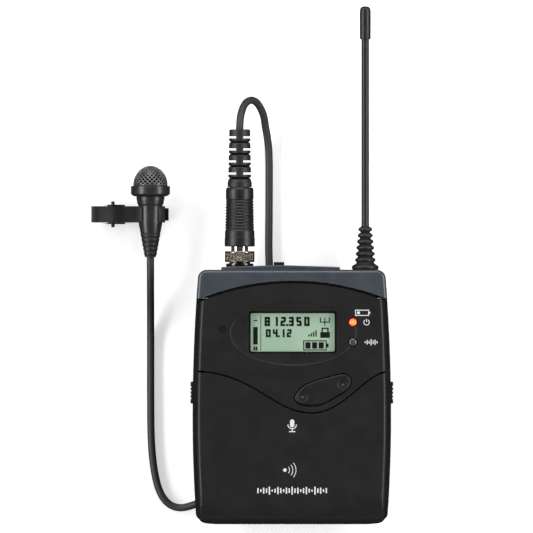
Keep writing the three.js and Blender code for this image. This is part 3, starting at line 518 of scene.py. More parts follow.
def boolean(how):
    """A function that joins or cuts a body with each tool in turn, and uses the tools up."""
    def change(body, *tools):
        for tool in tools:
            step = body.modifiers.new("join", "BOOLEAN")
            step.operation, step.object, step.solver = how, tool, "MANIFOLD"
            seen = body.evaluated_get(bpy.context.evaluated_depsgraph_get())
            old, body.data = body.data, bpy.data.meshes.new_from_object(seen)
            body.modifiers.clear()
            for mesh in (old, tool.data):
                bpy.data.meshes.remove(mesh)
        return body
    return change


cut, unite, keep = boolean("DIFFERENCE"), boolean("UNION"), boolean("INTERSECT")


def gather(pieces):
    """Several closed meshes as one object, side by side and not joined."""
    first, *others = pieces
    work = bmesh.new()
    for piece in pieces:
        work.from_mesh(piece.data)
    work.to_mesh(first.data)
    work.free()
    for piece in others:
        bpy.data.meshes.remove(piece.data)
    return first


def settle(piece, name, finish, replaces=None, body=ROOT, edge=0.0, sharp=38, slot=None):
    """Puts a finished piece in the row frame, with its bevelled edges, finish and body."""
    piece.data.transform(Matrix.Translation((CASE_X, CASE_Y, 0)) @ Matrix.Scale(MM, 4))
    piece.name = piece.data.name = name
    piece.data.materials.clear()
    piece.data.materials.append(FINISHES[finish])
    piece.data.shade_smooth()
    if edge:
        bevel = piece.modifiers.new("edges", "BEVEL")
        bevel.width, bevel.segments = edge * MM, 2
        bevel.limit_method, bevel.angle_limit = "ANGLE", math.radians(sharp)
    else:
        piece.data.set_sharp_from_angle(angle=math.radians(sharp))
    piece.modifiers.new("normals", "WEIGHTED_NORMAL").keep_sharp = True
    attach(piece, body)
    if replaces:
        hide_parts(replaces)


# ---- bodypack case -------------------------------------------------------------------------

FOOT = ((4.8, 0), (3.6, 0.12), (2, 0.6), (1.5, 0.95))
DOOR_SEAM_HIGH, DOOR_SEAM_LOW = 48.4, 35.2
DISPLAY_X, DISPLAY_Y = 0.25, 60.7
IR_X, IR_Y = -21.9, 61.7
BEAN = [
    (0.8, 40.2), (1.3, 38.7), (3.3, 37.9), (6.2, 37.5), (9.4, 38), (13.5, 40.1), (17.6, 42.8), (18.7, 44.6),
    (18.4, 46.4), (16.8, 47.6), (14.4, 47.3), (11.3, 46.5), (7.1, 45.3), (3.5, 43.6),
]
KNUCKLE_INNER, KNUCKLE_SPLIT, KNUCKLE_OUTER, BARREL, PIN = 6, 17.8, 26, 1.8, 0.6
PIVOT_Y, PIVOT_Z = 62, 4.9
CATCH_Y, CATCH_Z = 41.6, 22
MUTE_X, MUTE_WIDTH, MUTE_TRAVEL = -4.05, 3.3, 3


def half_width(y):
    """The case is widest at its waist and narrows up and down."""
    narrowing, reach = (1.7, 44) if y > WAIST_Y else (0.9, 28.5)
    return HALF_WIDTH - narrowing * ((y - WAIST_Y) / reach) ** 2


def case_outline(inset, low=0.0):
    """The case seen from the front, pulled in all round by inset, anticlockwise."""
    bottom, top = low + inset, CASE_TOP - inset
    foot, corner = max(3.0 - inset, 0.3), max(2.8 - inset, 0.3)
    x_low, x_high = half_width(bottom + foot) - inset, half_width(top - corner) - inset
    right = [(x_low - dx, bottom + dy) for dx, dy in FOOT] + [(x_low - 0.25, bottom + foot - 0.6)]
    right += [(half_width(y) - inset, y) for y in between(bottom + foot, top - corner, 28)]
    right += arc(x_high - corner, top - corner, corner, between(0, QUARTER, 8)[1:])
    return right + [(-x, y) for x, y in reversed(right)]


def bezier(*knots, steps=24):
    """Points along a cubic curve with four knots, or a quadratic one with three."""
    last, points = len(knots) - 1, []
    for t in between(0, 1, steps):
        weights = [math.comb(last, k) * (1 - t) ** (last - k) * t ** k for k in range(last + 1)]
        points.append(tuple(sum(w * p[axis] for w, p in zip(weights, knots)) for axis in (0, 1)))
    return points


def front_roll(inset):
    """Side view of the front pieces: the face rolls off towards the bottom edge."""
    along, down, face = 9, 5.2, FRONT - inset
    roll = bezier((inset, FRONT - down), (inset, face), (along, face), steps=16)
    return prism([(inset, HINGE_Z - 6), (90, HINGE_Z - 6), (90, face), *reversed(roll)], *ACROSS, axis="X")


def front_shell():
    """The front pieces' shell before the seams are cut."""
    skin = prism(lambda i: case_outline(FRONT_INSET + i, -FRONT_INSET - i), SPLIT - 8, FRONT, 0, 1.4, 6)
    hollow = prism(case_outline(FRONT_INSET + WALL, -FRONT_INSET), SPLIT - 9, FRONT - WALL)
    return cut(keep(skin, front_roll(0)), keep(hollow, front_roll(WALL)))


def below_door_seam(shift):
    """Everything below the S-shaped top edge of the battery door."""
    high, low = DOOR_SEAM_HIGH + shift, DOOR_SEAM_LOW + shift
    edge = bezier((-31.4, high), (-12, high), (-6, low), (6.2, low))
    edge += bezier((6.2, low), (17, low), (23, high), (31.4, high))[1:]
    return prism([(-36, -3), (36, -3), (36, high), *reversed(edge), (-36, high)], HINGE_Z - 8, FRONT + 1)


def below_cap_seam(shift):
    """Everything below the arc between the top cap and the front panel."""
    radius, end = 79, math.acos(36 / 79)
    edge = arc(0.4, -1.9, radius + shift, between(end, math.pi - end, 48))
    return prism([(-36, -5), (36, -5), *edge], SPLIT - 1, FRONT + 1)


def bean(grow):
    """The rocker's outline."""
    knots = [(x, y, 0) for x, y in BEAN]
    loop = smooth_path(knots[-2:] + knots + knots[:2], 1.0)
    third, near = len(loop) // 3, lambda i: (loop[i] - Vector(knots[0])).length
    first, last = min(range(third), key=near), min(range(2 * len(loop) // 3, len(loop)), key=near)
    return shrink([(p.x, p.y) for p in loop[first:last]], -grow)


def screen(width, height, corner):
    """A rounded rectangle round the middle of the display."""
    return rounded_rectangle(DISPLAY_X, DISPLAY_Y, width, height, corner)


def hinge_rod(radius, *reach):
    return prism(disc(HINGE_Y, HINGE_Z, radius), *reach, axis="X")


def build_front():
    """Front panel and battery door, cut from one shell along the door's S-shaped seam."""
    shell = front_shell()
    door = add("door", shell.data.copy())
    panel = keep(cut(shell, below_door_seam(0.35)), below_cap_seam(-0.95))
    bowl = lathe([(math.sin(t), -math.cos(t)) for t in between(0, math.pi, 24)], sides=96)
    bowl.data.transform(Matrix.Translation((0.5, 60.5, FRONT)) @ Matrix.Diagonal((20, 10.25, 0.6, 1)))
    cut(panel, block(ACROSS, (-5, 90), (0, SPLIT + GAP)), bowl,
        prism(screen(28, 13.6, 1.2), SPLIT, FRONT + 1), prism(bean(0.3), SPLIT, FRONT + 1))
    # Painted shade: matte black strips laid under the cap seam and the door seam, standing for the shade in
    # their gaps.
    depth = (FRONT - WALL - 1, FRONT - WALL)
    seam_shade = keep(below_cap_seam(1.2), block((-26.5, 26.5), (60, 90), depth))
    settle(cut(seam_shade, below_cap_seam(-2.2)), "cap_seam_shade", "wind_foam", slot="rubber")
    seam_shade = keep(below_door_seam(1.4), block((-27.6, 27.6), (30, 60), depth))
    cut(seam_shade, below_door_seam(-1.5), prism(bean(0.6), SPLIT, FRONT))
    settle(seam_shade, "door_seam_shade", "wind_foam", slot="rubber")
    for x, y, radius in ((LED_X, POWER_Y, 1.6), (LED_X, PEAK_Y, 1.6), (IR_X, IR_Y, 1.2)):
        cut(panel, peg(x, y, radius, SPLIT, FRONT + 1))
    settle(panel, "front_panel_shell", "black_plastic", "front_panel", edge=0.3)

    keep(door, below_door_seam(-0.3))
    foot_y, knuckle = HINGE_Y + 2.7, KNUCKLE_SPLIT - GAP
    cut(door, block(ACROSS, (foot_y - 0.1, 90), (0, SPLIT + GAP)), block(ACROSS, (-5, foot_y), (0, HINGE_Z)))
    for side in (-1, 1):
        cut(door, block(on_side(side, knuckle, 40), (-5, foot_y), (0, HINGE_Z + BARREL + GAP)),
            block(on_side(side, 26.7, 40), (-5, foot_y), (0, SPLIT + GAP)))
    for side in (-1, 1):
        unite(door, hinge_rod(BARREL, *on_side(side, KNUCKLE_INNER, knuckle)))
    cut(door, hinge_rod(PIN + 0.15, *ACROSS))
    settle(door, "battery_door_shell", "black_plastic", "battery_door", "battery_door", 0.3)


def build_housing():
    """Rear housing with the belt clip's lugs, hinge knuckles, catch windows and screw wells."""
    shell = prism(case_outline, BACK, SPLIT + 4, 1.8, 0, 6)
    cut(shell, prism(case_outline(WALL), BACK + WALL, SPLIT + 5), block(ACROSS, (-5, 90), (SPLIT, SPLIT + 6)),
        block(ACROSS, (SHOULDER_Y - 0.04, 90), (0, 40)),
        block((-27, 27), (-2, HINGE_Y + 2.4), (HINGE_Z - 2.1, SPLIT + 1)))
    lug = arc(PIVOT_Y, PIVOT_Z, 2.4, between(math.pi, 2 * math.pi, 16))
    lug += [(PIVOT_Y + 2.9, BACK + 0.6), (PIVOT_Y - 2.9, BACK + 0.6)]
    for side in (-1, 1):
        unite(shell, prism(lug, *on_side(side, 23, 26.2), 0.3, 0.3, 3, axis="X"))
    cut(shell, prism(disc(PIVOT_Y, PIVOT_Z, 1.35), *ACROSS, axis="X"))
    for side in (-1, 1):
        reach = on_side(side, KNUCKLE_SPLIT, KNUCKLE_OUTER)
        unite(shell, hinge_rod(BARREL, *reach),
              block(reach, (HINGE_Y - 1.6, HINGE_Y + 0.6), (HINGE_Z - 2.6, HINGE_Z)))
        cut(shell, block(spread(side * HALF_WIDTH, 8), spread(CATCH_Y, 7.6), spread(CATCH_Z, 5.6)))
    cut(shell, hinge_rod(PIN + 0.15, *ACROSS))
    for x, y in ((-19.5, 66.5), (19.5, 66.5), (-24, 41), (24, 41)):
        cut(shell, peg(x, y, 1.9, BACK - 1, BACK + 2))
    cut(shell, prism(rounded_rectangle(0, 53, 30, 18, 2), BACK - 1, BACK + 0.3))
    settle(shell, "rear_housing_shell", "dark_plastic", "rear_housing", edge=0.2)


def build_cap():
    """Top cap with its low plateau, and holes for the mute slider, socket and antenna."""
    left, right, edge, middle, foot = -22.4, 15.3, 81.4, 82, 40
    crown = [(left, CASE_TOP - 1), (right, CASE_TOP - 1), (right, edge), ((left + right) / 2, middle),
             (left, edge)]
    cap = prism(lambda inset: case_outline(inset, foot), BACK, FRONT, 1.3, 1.3, 6)
    unite(cap, prism(soften(crown, 0.5, 4, closed=True), BACK + 4, FRONT - 3, 0.4, 0.4, 3))
    slot = (MUTE_X - MUTE_WIDTH / 2 - 0.4, MUTE_X + MUTE_WIDTH / 2 + MUTE_TRAVEL + 0.4)
    cut(cap, prism(case_outline(WALL, foot), BACK + WALL, FRONT - WALL),
        block(ACROSS, (0, SHOULDER_Y), (0, 40)),
        below_cap_seam(0), block(slot, (70, 90), spread(AXIS_Z, 3.6)),
        prism(disc(AXIS_Z, PLUG_X, 4.5, 64), 70, 90, axis="Y"),
        prism(disc(AXIS_Z, ANTENNA_X, 2.6, 48), 70, 90, axis="Y"))
    settle(cap, "top_cap_shell", "cap_paint", "top_cap", edge=0.2)


def build_catches():
    """Side catches: a grooved button and, inside, a hooked arm."""
    for side, name in ((-1, "catch_left"), (1, "catch_right")):
        def across(deep, shallow):
            return on_side(side, HALF_WIDTH - deep, HALF_WIDTH - shallow)
        rounds = (0.4, 0) if side < 0 else (0, 0.4)
        face = rounded_rectangle(CATCH_Y, CATCH_Z, 7, 5, 0.8)
        button = prism(face, *across(3.2, -0.7), *rounds, axis="X")
        for y in (39.8, 41, 42.2, 43.4):
            cut(button, block(on_side(side, HALF_WIDTH + 0.45, 34), spread(y, 0.5), (18, 26)))
        for reach, zs in (((5.2, 3.1), (22, 23.4)), ((5.2, 4.6), (22, 29.8)), ((5.2, 4.2), (29, 29.8))):
            unite(button, block(across(*reach), spread(CATCH_Y, 4), zs))
        settle(button, f"{name}_button", "black_plastic", name, name, 0.12)


# ---- display, lamps, keys and print --------------------------------------------------------

SEGMENTS = {"0": "abcdef", "1": "bc", "2": "abdeg", "3": "abcdg", "4": "bcfg", "5": "acdfg", "8": "abcdefg"}


def seven_segments(text, x, y, height, pitch):
    """Plain seven-segment numbers as (x range, y range) bars, from the left end x and base y."""
    line, width, half = height * 0.23, pitch * 0.68, height / 2
    bars = []
    for character in text:
        if character == ".":
            bars.append(((x - pitch * 0.28, x - pitch * 0.28 + line), (y, y + line)))
            continue
        lit = SEGMENTS[character]
        for name, level in (("a", height - line), ("g", half - line / 2), ("d", 0)):
            if name in lit:
                bars.append(((x + line * 0.3, x + width - line * 0.3), (y + level, y + level + line)))
        for name, side, level in (("f", 0, half), ("b", 1, half), ("e", 0, 0), ("c", 1, 0)):
            if name in lit:
                left = x + side * (width - line)
                bars.append(((left, left + line), (y + level, y + level + half)))
        x += pitch
    return bars


DISPLAY_SIGNS = [
    ((-9.9, -9.75), (54.9, 66.4)), ((-12.1, -10.9), (64.3, 64.6)), ((-12.2, -10.8), (56.9, 62.4)),
    ((-12.1, -11.6), (55, 56.2)), ((-11.4, -10.9), (55, 56.2)), ((3.6, 11), (55, 55.3)),
    ((3.6, 11), (57.9, 58.2)), ((3.6, 3.9), (55, 58.2)), ((10.7, 11), (55, 58.2)), ((11, 11.6), (56, 57.2)),
    ((4.3, 5.9), (55.6, 57.6)), ((6.4, 8), (55.6, 57.6)), ((8.5, 10.1), (55.6, 57.6)),
    ((10.3, 10.6), (62.8, 65.4)), ((8.9, 9.2), (64, 65.4)), ((11.7, 12), (64, 65.4)),
    ((8.9, 12), (63.8, 64.1)), ((9, 12), (59, 60.8)), ((9.4, 9.8), (60.8, 62)), ((11.2, 11.6), (60.8, 62)),
    ((9.4, 11.6), (61.8, 62.2)),
    ((5.2, 5.6), (59.4, 60)), ((5.95, 6.35), (59.4, 60.45)), ((6.7, 7.1), (59.4, 60.9)),
    ((7.45, 7.85), (59.4, 61.35)),
]


def build_display():
    """Clear window, black mask and dark figures over the lit display."""
    glass = prism(screen(27.4, 13, 0.9), FRONT - 1.5, FRONT - 0.9, 0.08, 0.08, 2)
    settle(glass, "display_glass", "window_glass", "display_window")
    mask = prism(screen(29.4, 14.6, 0.4), FRONT - 1.75, FRONT - 1.6)
    cut(mask, prism(screen(26.5, 12.1, 0.5), FRONT - 3, FRONT))
    settle(mask, "display_mask", "dark_plastic")
    ink = seven_segments("812.350", -8.6, 62.7, 2.9, 2.5) + seven_segments("04.12", -8.2, 59.2, 2.5, 2.2)
    ink = [block(xs, ys, (FRONT - 1.98, FRONT - 1.92)) for xs, ys in ink + DISPLAY_SIGNS]
    settle(gather(ink), "display_figures", "lcd_ink")


def build_lamps():
    """Each lamp: a domed lens on a dark base, so that the lit one doesn't shine sideways."""
    seat = FRONT - 1.7
    for y, node, finish in ((POWER_Y, "power_led", "red_lens"), (PEAK_Y, "peak_led", "grey_lens")):
        dome = [(1.3 * math.cos(t), FRONT - 0.5 + 0.6 * math.sin(t)) for t in between(0, QUARTER, 6)[:-1]]
        foot = [(0, 23), (1.8, 23), (1.8, FRONT - 3.9), (1.3, FRONT - 3.9), (1.3, seat), (0, seat)]
        lens = lathe([(0, seat), (1.3, seat), *dome, (0, FRONT + 0.1)], sides=40)
        base = lathe(foot, sides=40)
        for piece in (lens, base):
            piece.data.transform(Matrix(((1, 0, 0, LED_X), (0, 0, 1, y), (0, 1, 0, 0), (0, 0, 0, 1))))
            piece.data.flip_normals()
        settle(base, f"{node}_base", "dark_plastic")
        settle(lens, f"{node}_lens", finish, node)


def dimple(x, y, radius, depth, top):
    """A shallow spherical scoop to cut from a face at height top."""
    ball = (radius ** 2 + depth ** 2) / (2 * depth)
    profile = [(ball * math.sin(t), -ball * math.cos(t)) for t in between(0, math.pi, 120)[:-1]]
    profile = [p for p in profile if p[0] < radius * 1.2 and p[1] < 0]
    sink = lathe([*profile, (0, profile[-1][1])], sides=48)
    sink.data.transform(Matrix.Translation((x, y, top - depth + ball)) @ Matrix.Rotation(QUARTER, 4, "X"))
    return sink


def build_rocker():
    """Two-way key: a dimple and a faint arrow at each end, a stem under each."""
    middle_x, middle_y, top, tilt = 9.7, 42.2, FRONT + 0.4, math.radians(15.3)
    cap, marks = prism(bean(0), FRONT - 2.6, top, 0.2, 0.7, 5), []
    for side in (-1, 1):
        stem = (middle_x + side * 6 * math.cos(tilt), middle_y + side * 6 * math.sin(tilt))
        unite(cap, peg(*stem, 1.2, FRONT - 4, FRONT - 2.5, 32))
        x, y = middle_x + side * 6.6 * math.cos(tilt), middle_y + side * 7.4 * math.sin(tilt)
        cut(cap, dimple(x, y, 1.9, 0.35, top))
        arrow = arc(x, y, 0.55, [QUARTER * side + 2 * math.pi * i / 3 for i in range(3)])
        marks.append(prism(arrow, top - 0.5, top - 0.27))
    settle(cap, "rocker_cap", "dark_plastic", "rocker_button", "rocker", 0.1)
    settle(gather(marks), "rocker_arrows", "faint_print", body="rocker")


def build_keys():
    """The two keys under the battery door."""
    for x, y, node, body in ((-20, 40.2, "set_button", "set_key"), (22.2, 39.4, "power_button", "power_key")):
        key = prism(disc(x, y, 2.3, 48), SPLIT - 2, SPLIT + 0.6, 0, 0.3)
        unite(key, peg(x, y, 2.8, SPLIT - 2.6, SPLIT - 1.9, 48))
        cut(key, dimple(x, y, 1.7, 0.2, SPLIT + 0.6))
        settle(key, f"{node}_cap", "black_plastic", node, body, 0.1)


PRINT = (FRONT - 0.02, FRONT + 0.03)


def sign(x, y, bars):
    """Bars of a printed sign, given as (x range, y range) about x, y."""
    return [block((x + left, x + right), (y + low, y + high), PRINT) for (left, right), (low, high) in bars]


def arc_bar(x, y, radius, line, start, end):
    turns = between(start, end, 24)
    return prism(arc(x, y, radius + line / 2, turns) + arc(x, y, radius - line / 2, turns)[::-1], *PRINT)


def build_print():
    """Generic signs where the case is printed: by the lamps on the panel, and three on the door."""
    battery = [((-2.2, 2.2), (-0.95, -0.7)), ((-2.2, 2.2), (0.7, 0.95)), ((-2.2, -1.95), (-0.7, 0.7)),
               ((1.95, 2.2), (-0.7, 0.7)), ((2.2, 2.55), (-0.35, 0.35)), ((-1.6, -0.7), (-0.4, 0.4))]
    level = [((0.62 * i - 0.15, 0.62 * i + 0.15), (-h, h))
             for i, h in enumerate((0.3, 0.7, 0.45, 1.0, 0.55, 0.8, 0.35))]
    power = [*sign(23.6, POWER_Y, [((-0.13, 0.13), (0.1, 1.05))]),
             arc_bar(23.6, POWER_Y, 0.85, 0.24, math.radians(125), math.radians(415))]
    panel = sign(22.2, 66.9, battery) + sign(23.2, PEAK_Y, level) + power
    settle(gather(panel), "panel_signs", "white_print")

    heights = (1.25, 0.7, 0.95, 0.45, 0.8, 1.15, 0.6, 0.3)
    row_of_bars = [((0.9 * i - 0.22, 0.9 * i + 0.22), (-heights[abs(i) % 8], heights[abs(i) % 8]))
                   for i in range(-12, 13)]
    x, y = 0.1, 31.2
    microphone = [*sign(x, y, [((-0.16, 0.16), (-1.75, -1.1)), ((-1, 1), (-2.0, -1.7))]),
                  prism(rounded_rectangle(x, y + 0.75, 1.35, 2.5, 0.66), *PRINT),
                  arc_bar(x, y + 0.4, 1.35, 0.3, math.pi, 2 * math.pi)]
    x, y = -2.2, 17.2
    waves = [peg(x, y, 0.55, *PRINT, 32), *(arc_bar(x, y, r, 0.22, -0.7, 0.7) for r in (1.5, 2.5, 3.5))]
    settle(gather(sign(0.1, 10.7, row_of_bars) + microphone + waves), "door_signs", "white_print",
           body="battery_door")


def build_mute():
    knob = block(spread(MUTE_X, MUTE_WIDTH), (78.9, 83), spread(AXIS_Z, 3))
    for i in (-1, 0, 1):
        cut(knob, block(spread(MUTE_X + 0.9 * i, 0.35), (82.86, 84), (10, 30)))
    unite(knob, block(spread(MUTE_X, 1.4), (76.6, 79), spread(AXIS_Z, 1.4)))
    settle(knob, "mute_knob", "dark_plastic", "mute_slider", "mute_slider", 0.15)


# ---- connector, plug and antenna -----------------------------------------------------------

def turned(name, finish, replaces, profile, axis, sides=64, rounding=0.2, steps=3, closed=False, **how):
    """A settled piece turned from a softened profile."""
    piece = lathe(soften(profile, rounding, steps, closed), axis, sides, closed)
    settle(piece, name, finish, replaces, **how)


def build_socket():
    profile = [(1.9, 67), (4.2, 67), (4.2, 81.4), (4.35, 81.9), (4.35, 82.5), (3.3, 82.5), (3.3, 85.2),
               (1.9, 85.2)]
    turned("socket_body", "dark_nickel", "jack_socket", profile, PLUG, 64, 0.15, 2, True)


KNURL_LOW, KNURL_HIGH = 83.3, 86.0


def knurl(angle, y, radius):
    """Diamond knurling on the outer face: pyramids between two families of crossing grooves."""
    if radius <= 4.7 or not KNURL_LOW < y < KNURL_HIGH:
        return radius
    across, along = angle * 26 / (2 * math.pi), (y - KNURL_LOW) / 0.78
    dips = [abs((across + sign * along) % 1 - 0.5) * 2 for sign in (-1, 1)]
    return radius - 0.34 * max(dips) ** 2


def build_nut():
    rise = [(4.75, y) for y in between(KNURL_LOW, KNURL_HIGH, 26)]
    profile = [(2.85, 86.4), (2.85, 85.5), (3.6, 85.5), (3.6, 82.9), (4.5, 82.9), (4.75, 83.15), *rise,
               (4.75, 86.15), (4.5, 86.4)]
    nut = lathe(profile, PLUG, 204, True, knurl)
    settle(nut, "knurled_nut", "knurled_nickel", "plug_nut", "plug_nut", sharp=60)


def build_plug_pin():
    profile = [(0, 68.6), (0.9, 69), (1.7, 70.6), (1.3, 71.6), (1.7, 72.4), (1.7, 85.6), (2.7, 85.6),
               (2.7, 95), (0, 95)]
    turned("plug_core", "chrome", "plug_pin", profile, PLUG)


def build_sleeve():
    """Grip sleeve: eleven shallow ridges between two plain ends."""
    profile = [(2.85, 87.85), (4.6, 87.85), (4.8, 88.1), (4.78, 90.6), (4.66, 90.9), (4.7, 91.2),
               (4.69, 92.8)]
    for i in range(11):
        y, r = 93.2 + 0.93 * i, 4.68 - 0.022 * i
        profile += [(r - 0.28, y), (r - 0.3, y + 0.2), (r - 0.06, y + 0.36), (r, y + 0.5),
                    (r - 0.06, y + 0.66)]
    profile += [(4.42, 104.1), (4.38, 105.9), (4.1, 106.55), (2.85, 106.6)]
    turned("grip_sleeve", "rubber", "plug_sleeve", profile, PLUG, 72, 0.1, 2, True)


def build_strain_relief():
    """Flexing rings: slits through the front and back and, between them, through the sides."""
    base, end, pitch, slit = 108.6, 124.95, 3.82, 0.62
    profile = [(0, 105.8), (2.8, 105.8), (2.8, 106.62), (3.85, 106.65), (3.85, 108.2), (3.65, 108.6)]

    def radius(y):
        return 3.66 - 0.36 * (y - base) / (end - base)
    grooves = [base + 0.8 + pitch * i for i in range(4)]
    for y in grooves:
        r = radius(y)
        profile += [(r, y - 0.35), (r - 0.45, y), (r - 0.45, y + 0.2), (r, y + 0.55)]
    profile += [(radius(end), end - 0.15), (radius(end) - 0.15, end), (0, end)]
    relief = lathe(soften(profile, 0.15, 2), PLUG)
    for y in grooves:
        front, flank = spread(y + 0.1, slit), spread(y + 0.1 + 0.39 * pitch, slit)
        for sign in (-1, 1):
            depth = sorted((AXIS_Z + sign * 1.25, AXIS_Z + sign * 5))
            reach = sorted((PLUG_X + sign * 1.15, PLUG_X + sign * 5))
            cut(relief, block(spread(PLUG_X, 5), front, depth), block(reach, flank, spread(AXIS_Z, 9)))
    settle(relief, "flex_relief", "soft_boot", "plug_strain_relief", edge=0.1, sharp=50)


def build_antenna():
    """Boot of six shrinking beads, a plain whip and its end cap."""
    profile = [(0, 77), (2.3, 77), (2.3, 80.5), (4, 80.5), (4.25, 80.8), (4.25, 81.5), (3.9, 81.9),
               (2.9, 82.5)]
    beads, low, pitch, bead = 6, 83.6, 1.94, 0.62
    for i in range(beads):
        middle, r = low + pitch * i, 3.25 - 1.05 * i / (beads - 1)
        profile += arc(r - bead, middle, bead, [math.radians(-80 + 20 * j) for j in range(9)])
        profile.append((r - 0.95, middle + pitch / 2))
    boot = lathe([*profile, (1.2, 94.3), (0, 94.3)], ANTENNA)
    settle(boot, "antenna_gaiter", "soft_boot", "antenna_boot", sharp=50)
    whip = lathe([(0, 94), (1.2, 94), (1.2, 153.7), (0, 153.7)], ANTENNA, 40)
    settle(whip, "antenna_rod", "rubber", "antenna_whip")
    tip = [(0, 153.5), (1.6, 153.5), (1.72, 153.9), (1.75, 162.4), (1.6, 163.3), (1.05, 163.85), (0, 164)]
    turned("antenna_cap", "rubber", "antenna_tip", tip, ANTENNA, 48, 0.4, 4)


def build_belt_clip():
    """A wire loop, drawn from its right pivot to the middle of its foot and mirrored."""
    y, z, side, end, rest = PIVOT_Y, PIVOT_Z, 28.6, 5.4, 1.15
    half = [
        (22.4, y, z), (24.6, y, z), (26.6, y, z), (28, y - 0.8, z - 0.05), (side, y - 2.6, z - 0.6),
        (side, y - 5.6, z - 2.1), (side, y - 8.6, rest + 0.5), (side, y - 12, rest + 0.05), (side, 36, rest),
        (side, 20, rest), (side, end + 6, rest), (side - 0.3, end + 3, rest), (side - 1.6, end + 1.1, rest),
        (side - 3.4, end + 0.25, rest), (side - 6, end, rest), (side / 2, end, rest),
    ]
    wire = tube(smooth_path(half + [(-x, y, z) for x, y, z in reversed(half)], 0.9), 1.1, 20)
    settle(wire, "clip_wire", "steel", "belt_clip", "belt_clip")


# ---- microphone ----------------------------------------------------------------------------

def woven_dome():
    """Crossing diagonal wires over the dome, closed by a small disc at the top."""
    columns, steps, radius, rise, base = 22, 30, 5.28, 6.0, 107.3
    wires = []
    for sign in (-1, 1):
        for i in range(columns):
            path = []
            for j in range(steps + 1):
                level = 0.9 * j / steps
                turn = 2 * math.pi * (i + sign * level * 6.8 + (0.25 if sign > 0 else 0)) / columns
                lift = 0.09 * (1 if (j + (sign > 0)) % 2 else -1)
                r = (radius + lift) * math.cos(level * QUARTER)
                path.append((MIC_X + r * math.cos(turn), base + (rise + lift) * math.sin(level * QUARTER),
                             MIC_Z + r * math.sin(turn)))
            wires.append(tube(path, 0.13, 6))
    settle(gather(wires), "grille_weave", "mesh_metal", "mic_grille", "microphone", sharp=80)
    cap = lathe([(0, 112.95), (0.9, 112.95), (1.05, 113.15), (0.75, 113.4), (0, 113.48)], MIC, 32)
    rim = soften([(4.95, 106.95), (5.35, 107.1), (5.35, 107.75), (5, 107.75)], 0.12, 2, True)
    settle(gather([cap, lathe(rim, MIC, 64, True)]), "grille_cap_and_rim", "black_metal", body="microphone")
    dome = [(4.9 * math.cos(t), 107.2 + 5.6 * math.sin(t)) for t in between(0, QUARTER, 14)[:-1]]
    lining = lathe([*dome, (0, 112.8), (0, 106.6), (4.9, 106.6)], MIC, 48)
    settle(lining, "foam_lining", "wind_foam", "wind_foam", "microphone")


def build_microphone():
    woven_dome()
    ring = [(4.3, 103.8), (5.2, 103.8), (6.2, 104.5), (6.2, 107), (5.9, 107.1), (4.3, 107.1)]
    turned("grille_ring", "black_metal", "mic_ring", ring, MIC, 80, 0.25, 3, True, body="microphone")
    barrel = [
        (1.9, 91.9), (3.12, 91.9), (3.72, 95.0), (3.76, 96), (3.76, 100.8), (3.98, 101.1), (4.28, 101.9),
        (4.16, 102.15), (4.35, 102.3), (4.5, 103.78), (3.9, 103.78), (3.6, 101.2), (2.6, 99.5), (1.9, 99.5),
    ]
    turned("microphone_barrel", "black_metal", "mic_body", barrel, MIC, 72, 0.2, 3, True, body="microphone")
    boot, pitch = [(0, 84.5), (1.74, 84.5)], 1.44
    for i in range(5):
        y = 84.8 + pitch * i
        r = 1.8 + 0.187 * (y - 84.7)
        boot += [(r - 0.1, y), (r + 0.02, y + 0.2), (r + 0.2, y + 0.72), (r + 0.26, y + pitch - 0.2),
                 (r + 0.14, y + pitch - 0.1)]
    boot += [(3.1, 91.88), (1.85, 91.9), (1.85, 93), (0, 93)]
    turned("microphone_gaiter", "soft_boot", "mic_boot", boot, MIC, 56, 0.06, 2, body="microphone")


# ---- tie clip ------------------------------------------------------------------------------

TIE_Y, TIE_WIDTH, TIE_PLATE = 98.1, 5.2, 0.7
TIE_PIN_X, TIE_PIN_Z, TIE_PIN_R = -56.8, 4.8, 0.55
FRONT_JAW = [
    (-62.9, 9.5), (-63.35, 9.2), (-63.45, 8.6), (-63, 8.15), (-61.5, 7.9), (-58.6, 7.3), (-55.6, 6.3),
    (-53.2, 5.7), (-51, 5.6), (-50, 5.6), (-42, 5.6), (-41.2, 5.6), (-40.1, 5.3), (-39.5, 4.6), (-39.45, 3.8),
]
REAR_JAW = [
    (-62.4, 2.4), (-61.6, 2), (-59, 1.1), (-56, 0.55), (-52, 0.35), (-43, 0.35), (-41, 0.8), (-39.8, 1.8),
    (-39.45, 3),
]


def strip(path, thickness):
    """The outline of a bent strip along a path of (u, v)."""
    half, outer, inner = thickness / 2, [], []
    for i, (u, v) in enumerate(path):
        way = Vector(path[min(i + 1, len(path) - 1)]) - Vector(path[max(i - 1, 0)])
        way.normalize()
        outer.append((u + half * way.y, v - half * way.x))
        inner.append((u - half * way.y, v + half * way.x))
    return outer + inner[::-1]


def jaw_plate(path, low, high):
    """A bent plate; its curve overshoots the path, so it is held back at the ends it mustn't pass."""
    least_x, least_z = (min(values) + 0.13 for values in zip(*path))
    fine = [(max(p.x, least_x), max(p.z, least_z)) for p in smooth_path([(x, 0, z) for x, z in path], 0.5)]
    return prism([(z, x) for x, z in strip(fine, TIE_PLATE)], low, high, 0.12, 0.12, 2, axis="Y")


def ear(offset, thickness, radius, legs, side):
    """A hinge ear: a disc round the pin, with legs down or up to its jaw."""
    reach = sorted((TIE_Y + side * offset, TIE_Y + side * (offset + thickness)))
    return unite(prism(disc(TIE_PIN_Z, TIE_PIN_X, radius, 40), *reach, axis="Y"),
                 prism([(z, x) for x, z in legs], *reach, axis="Y"))


def snap_ring(inner, outer, mouth):
    """The open ring that holds the microphone."""
    turns = between(mouth, 2 * math.pi - mouth, 48)
    outline = arc(MIC_Z, MIC_X, outer, turns) + arc(MIC_Z, MIC_X, inner, turns)[::-1]
    return prism(outline, *spread(TIE_Y, 4.6), 0.12, 0.12, 2, axis="Y")


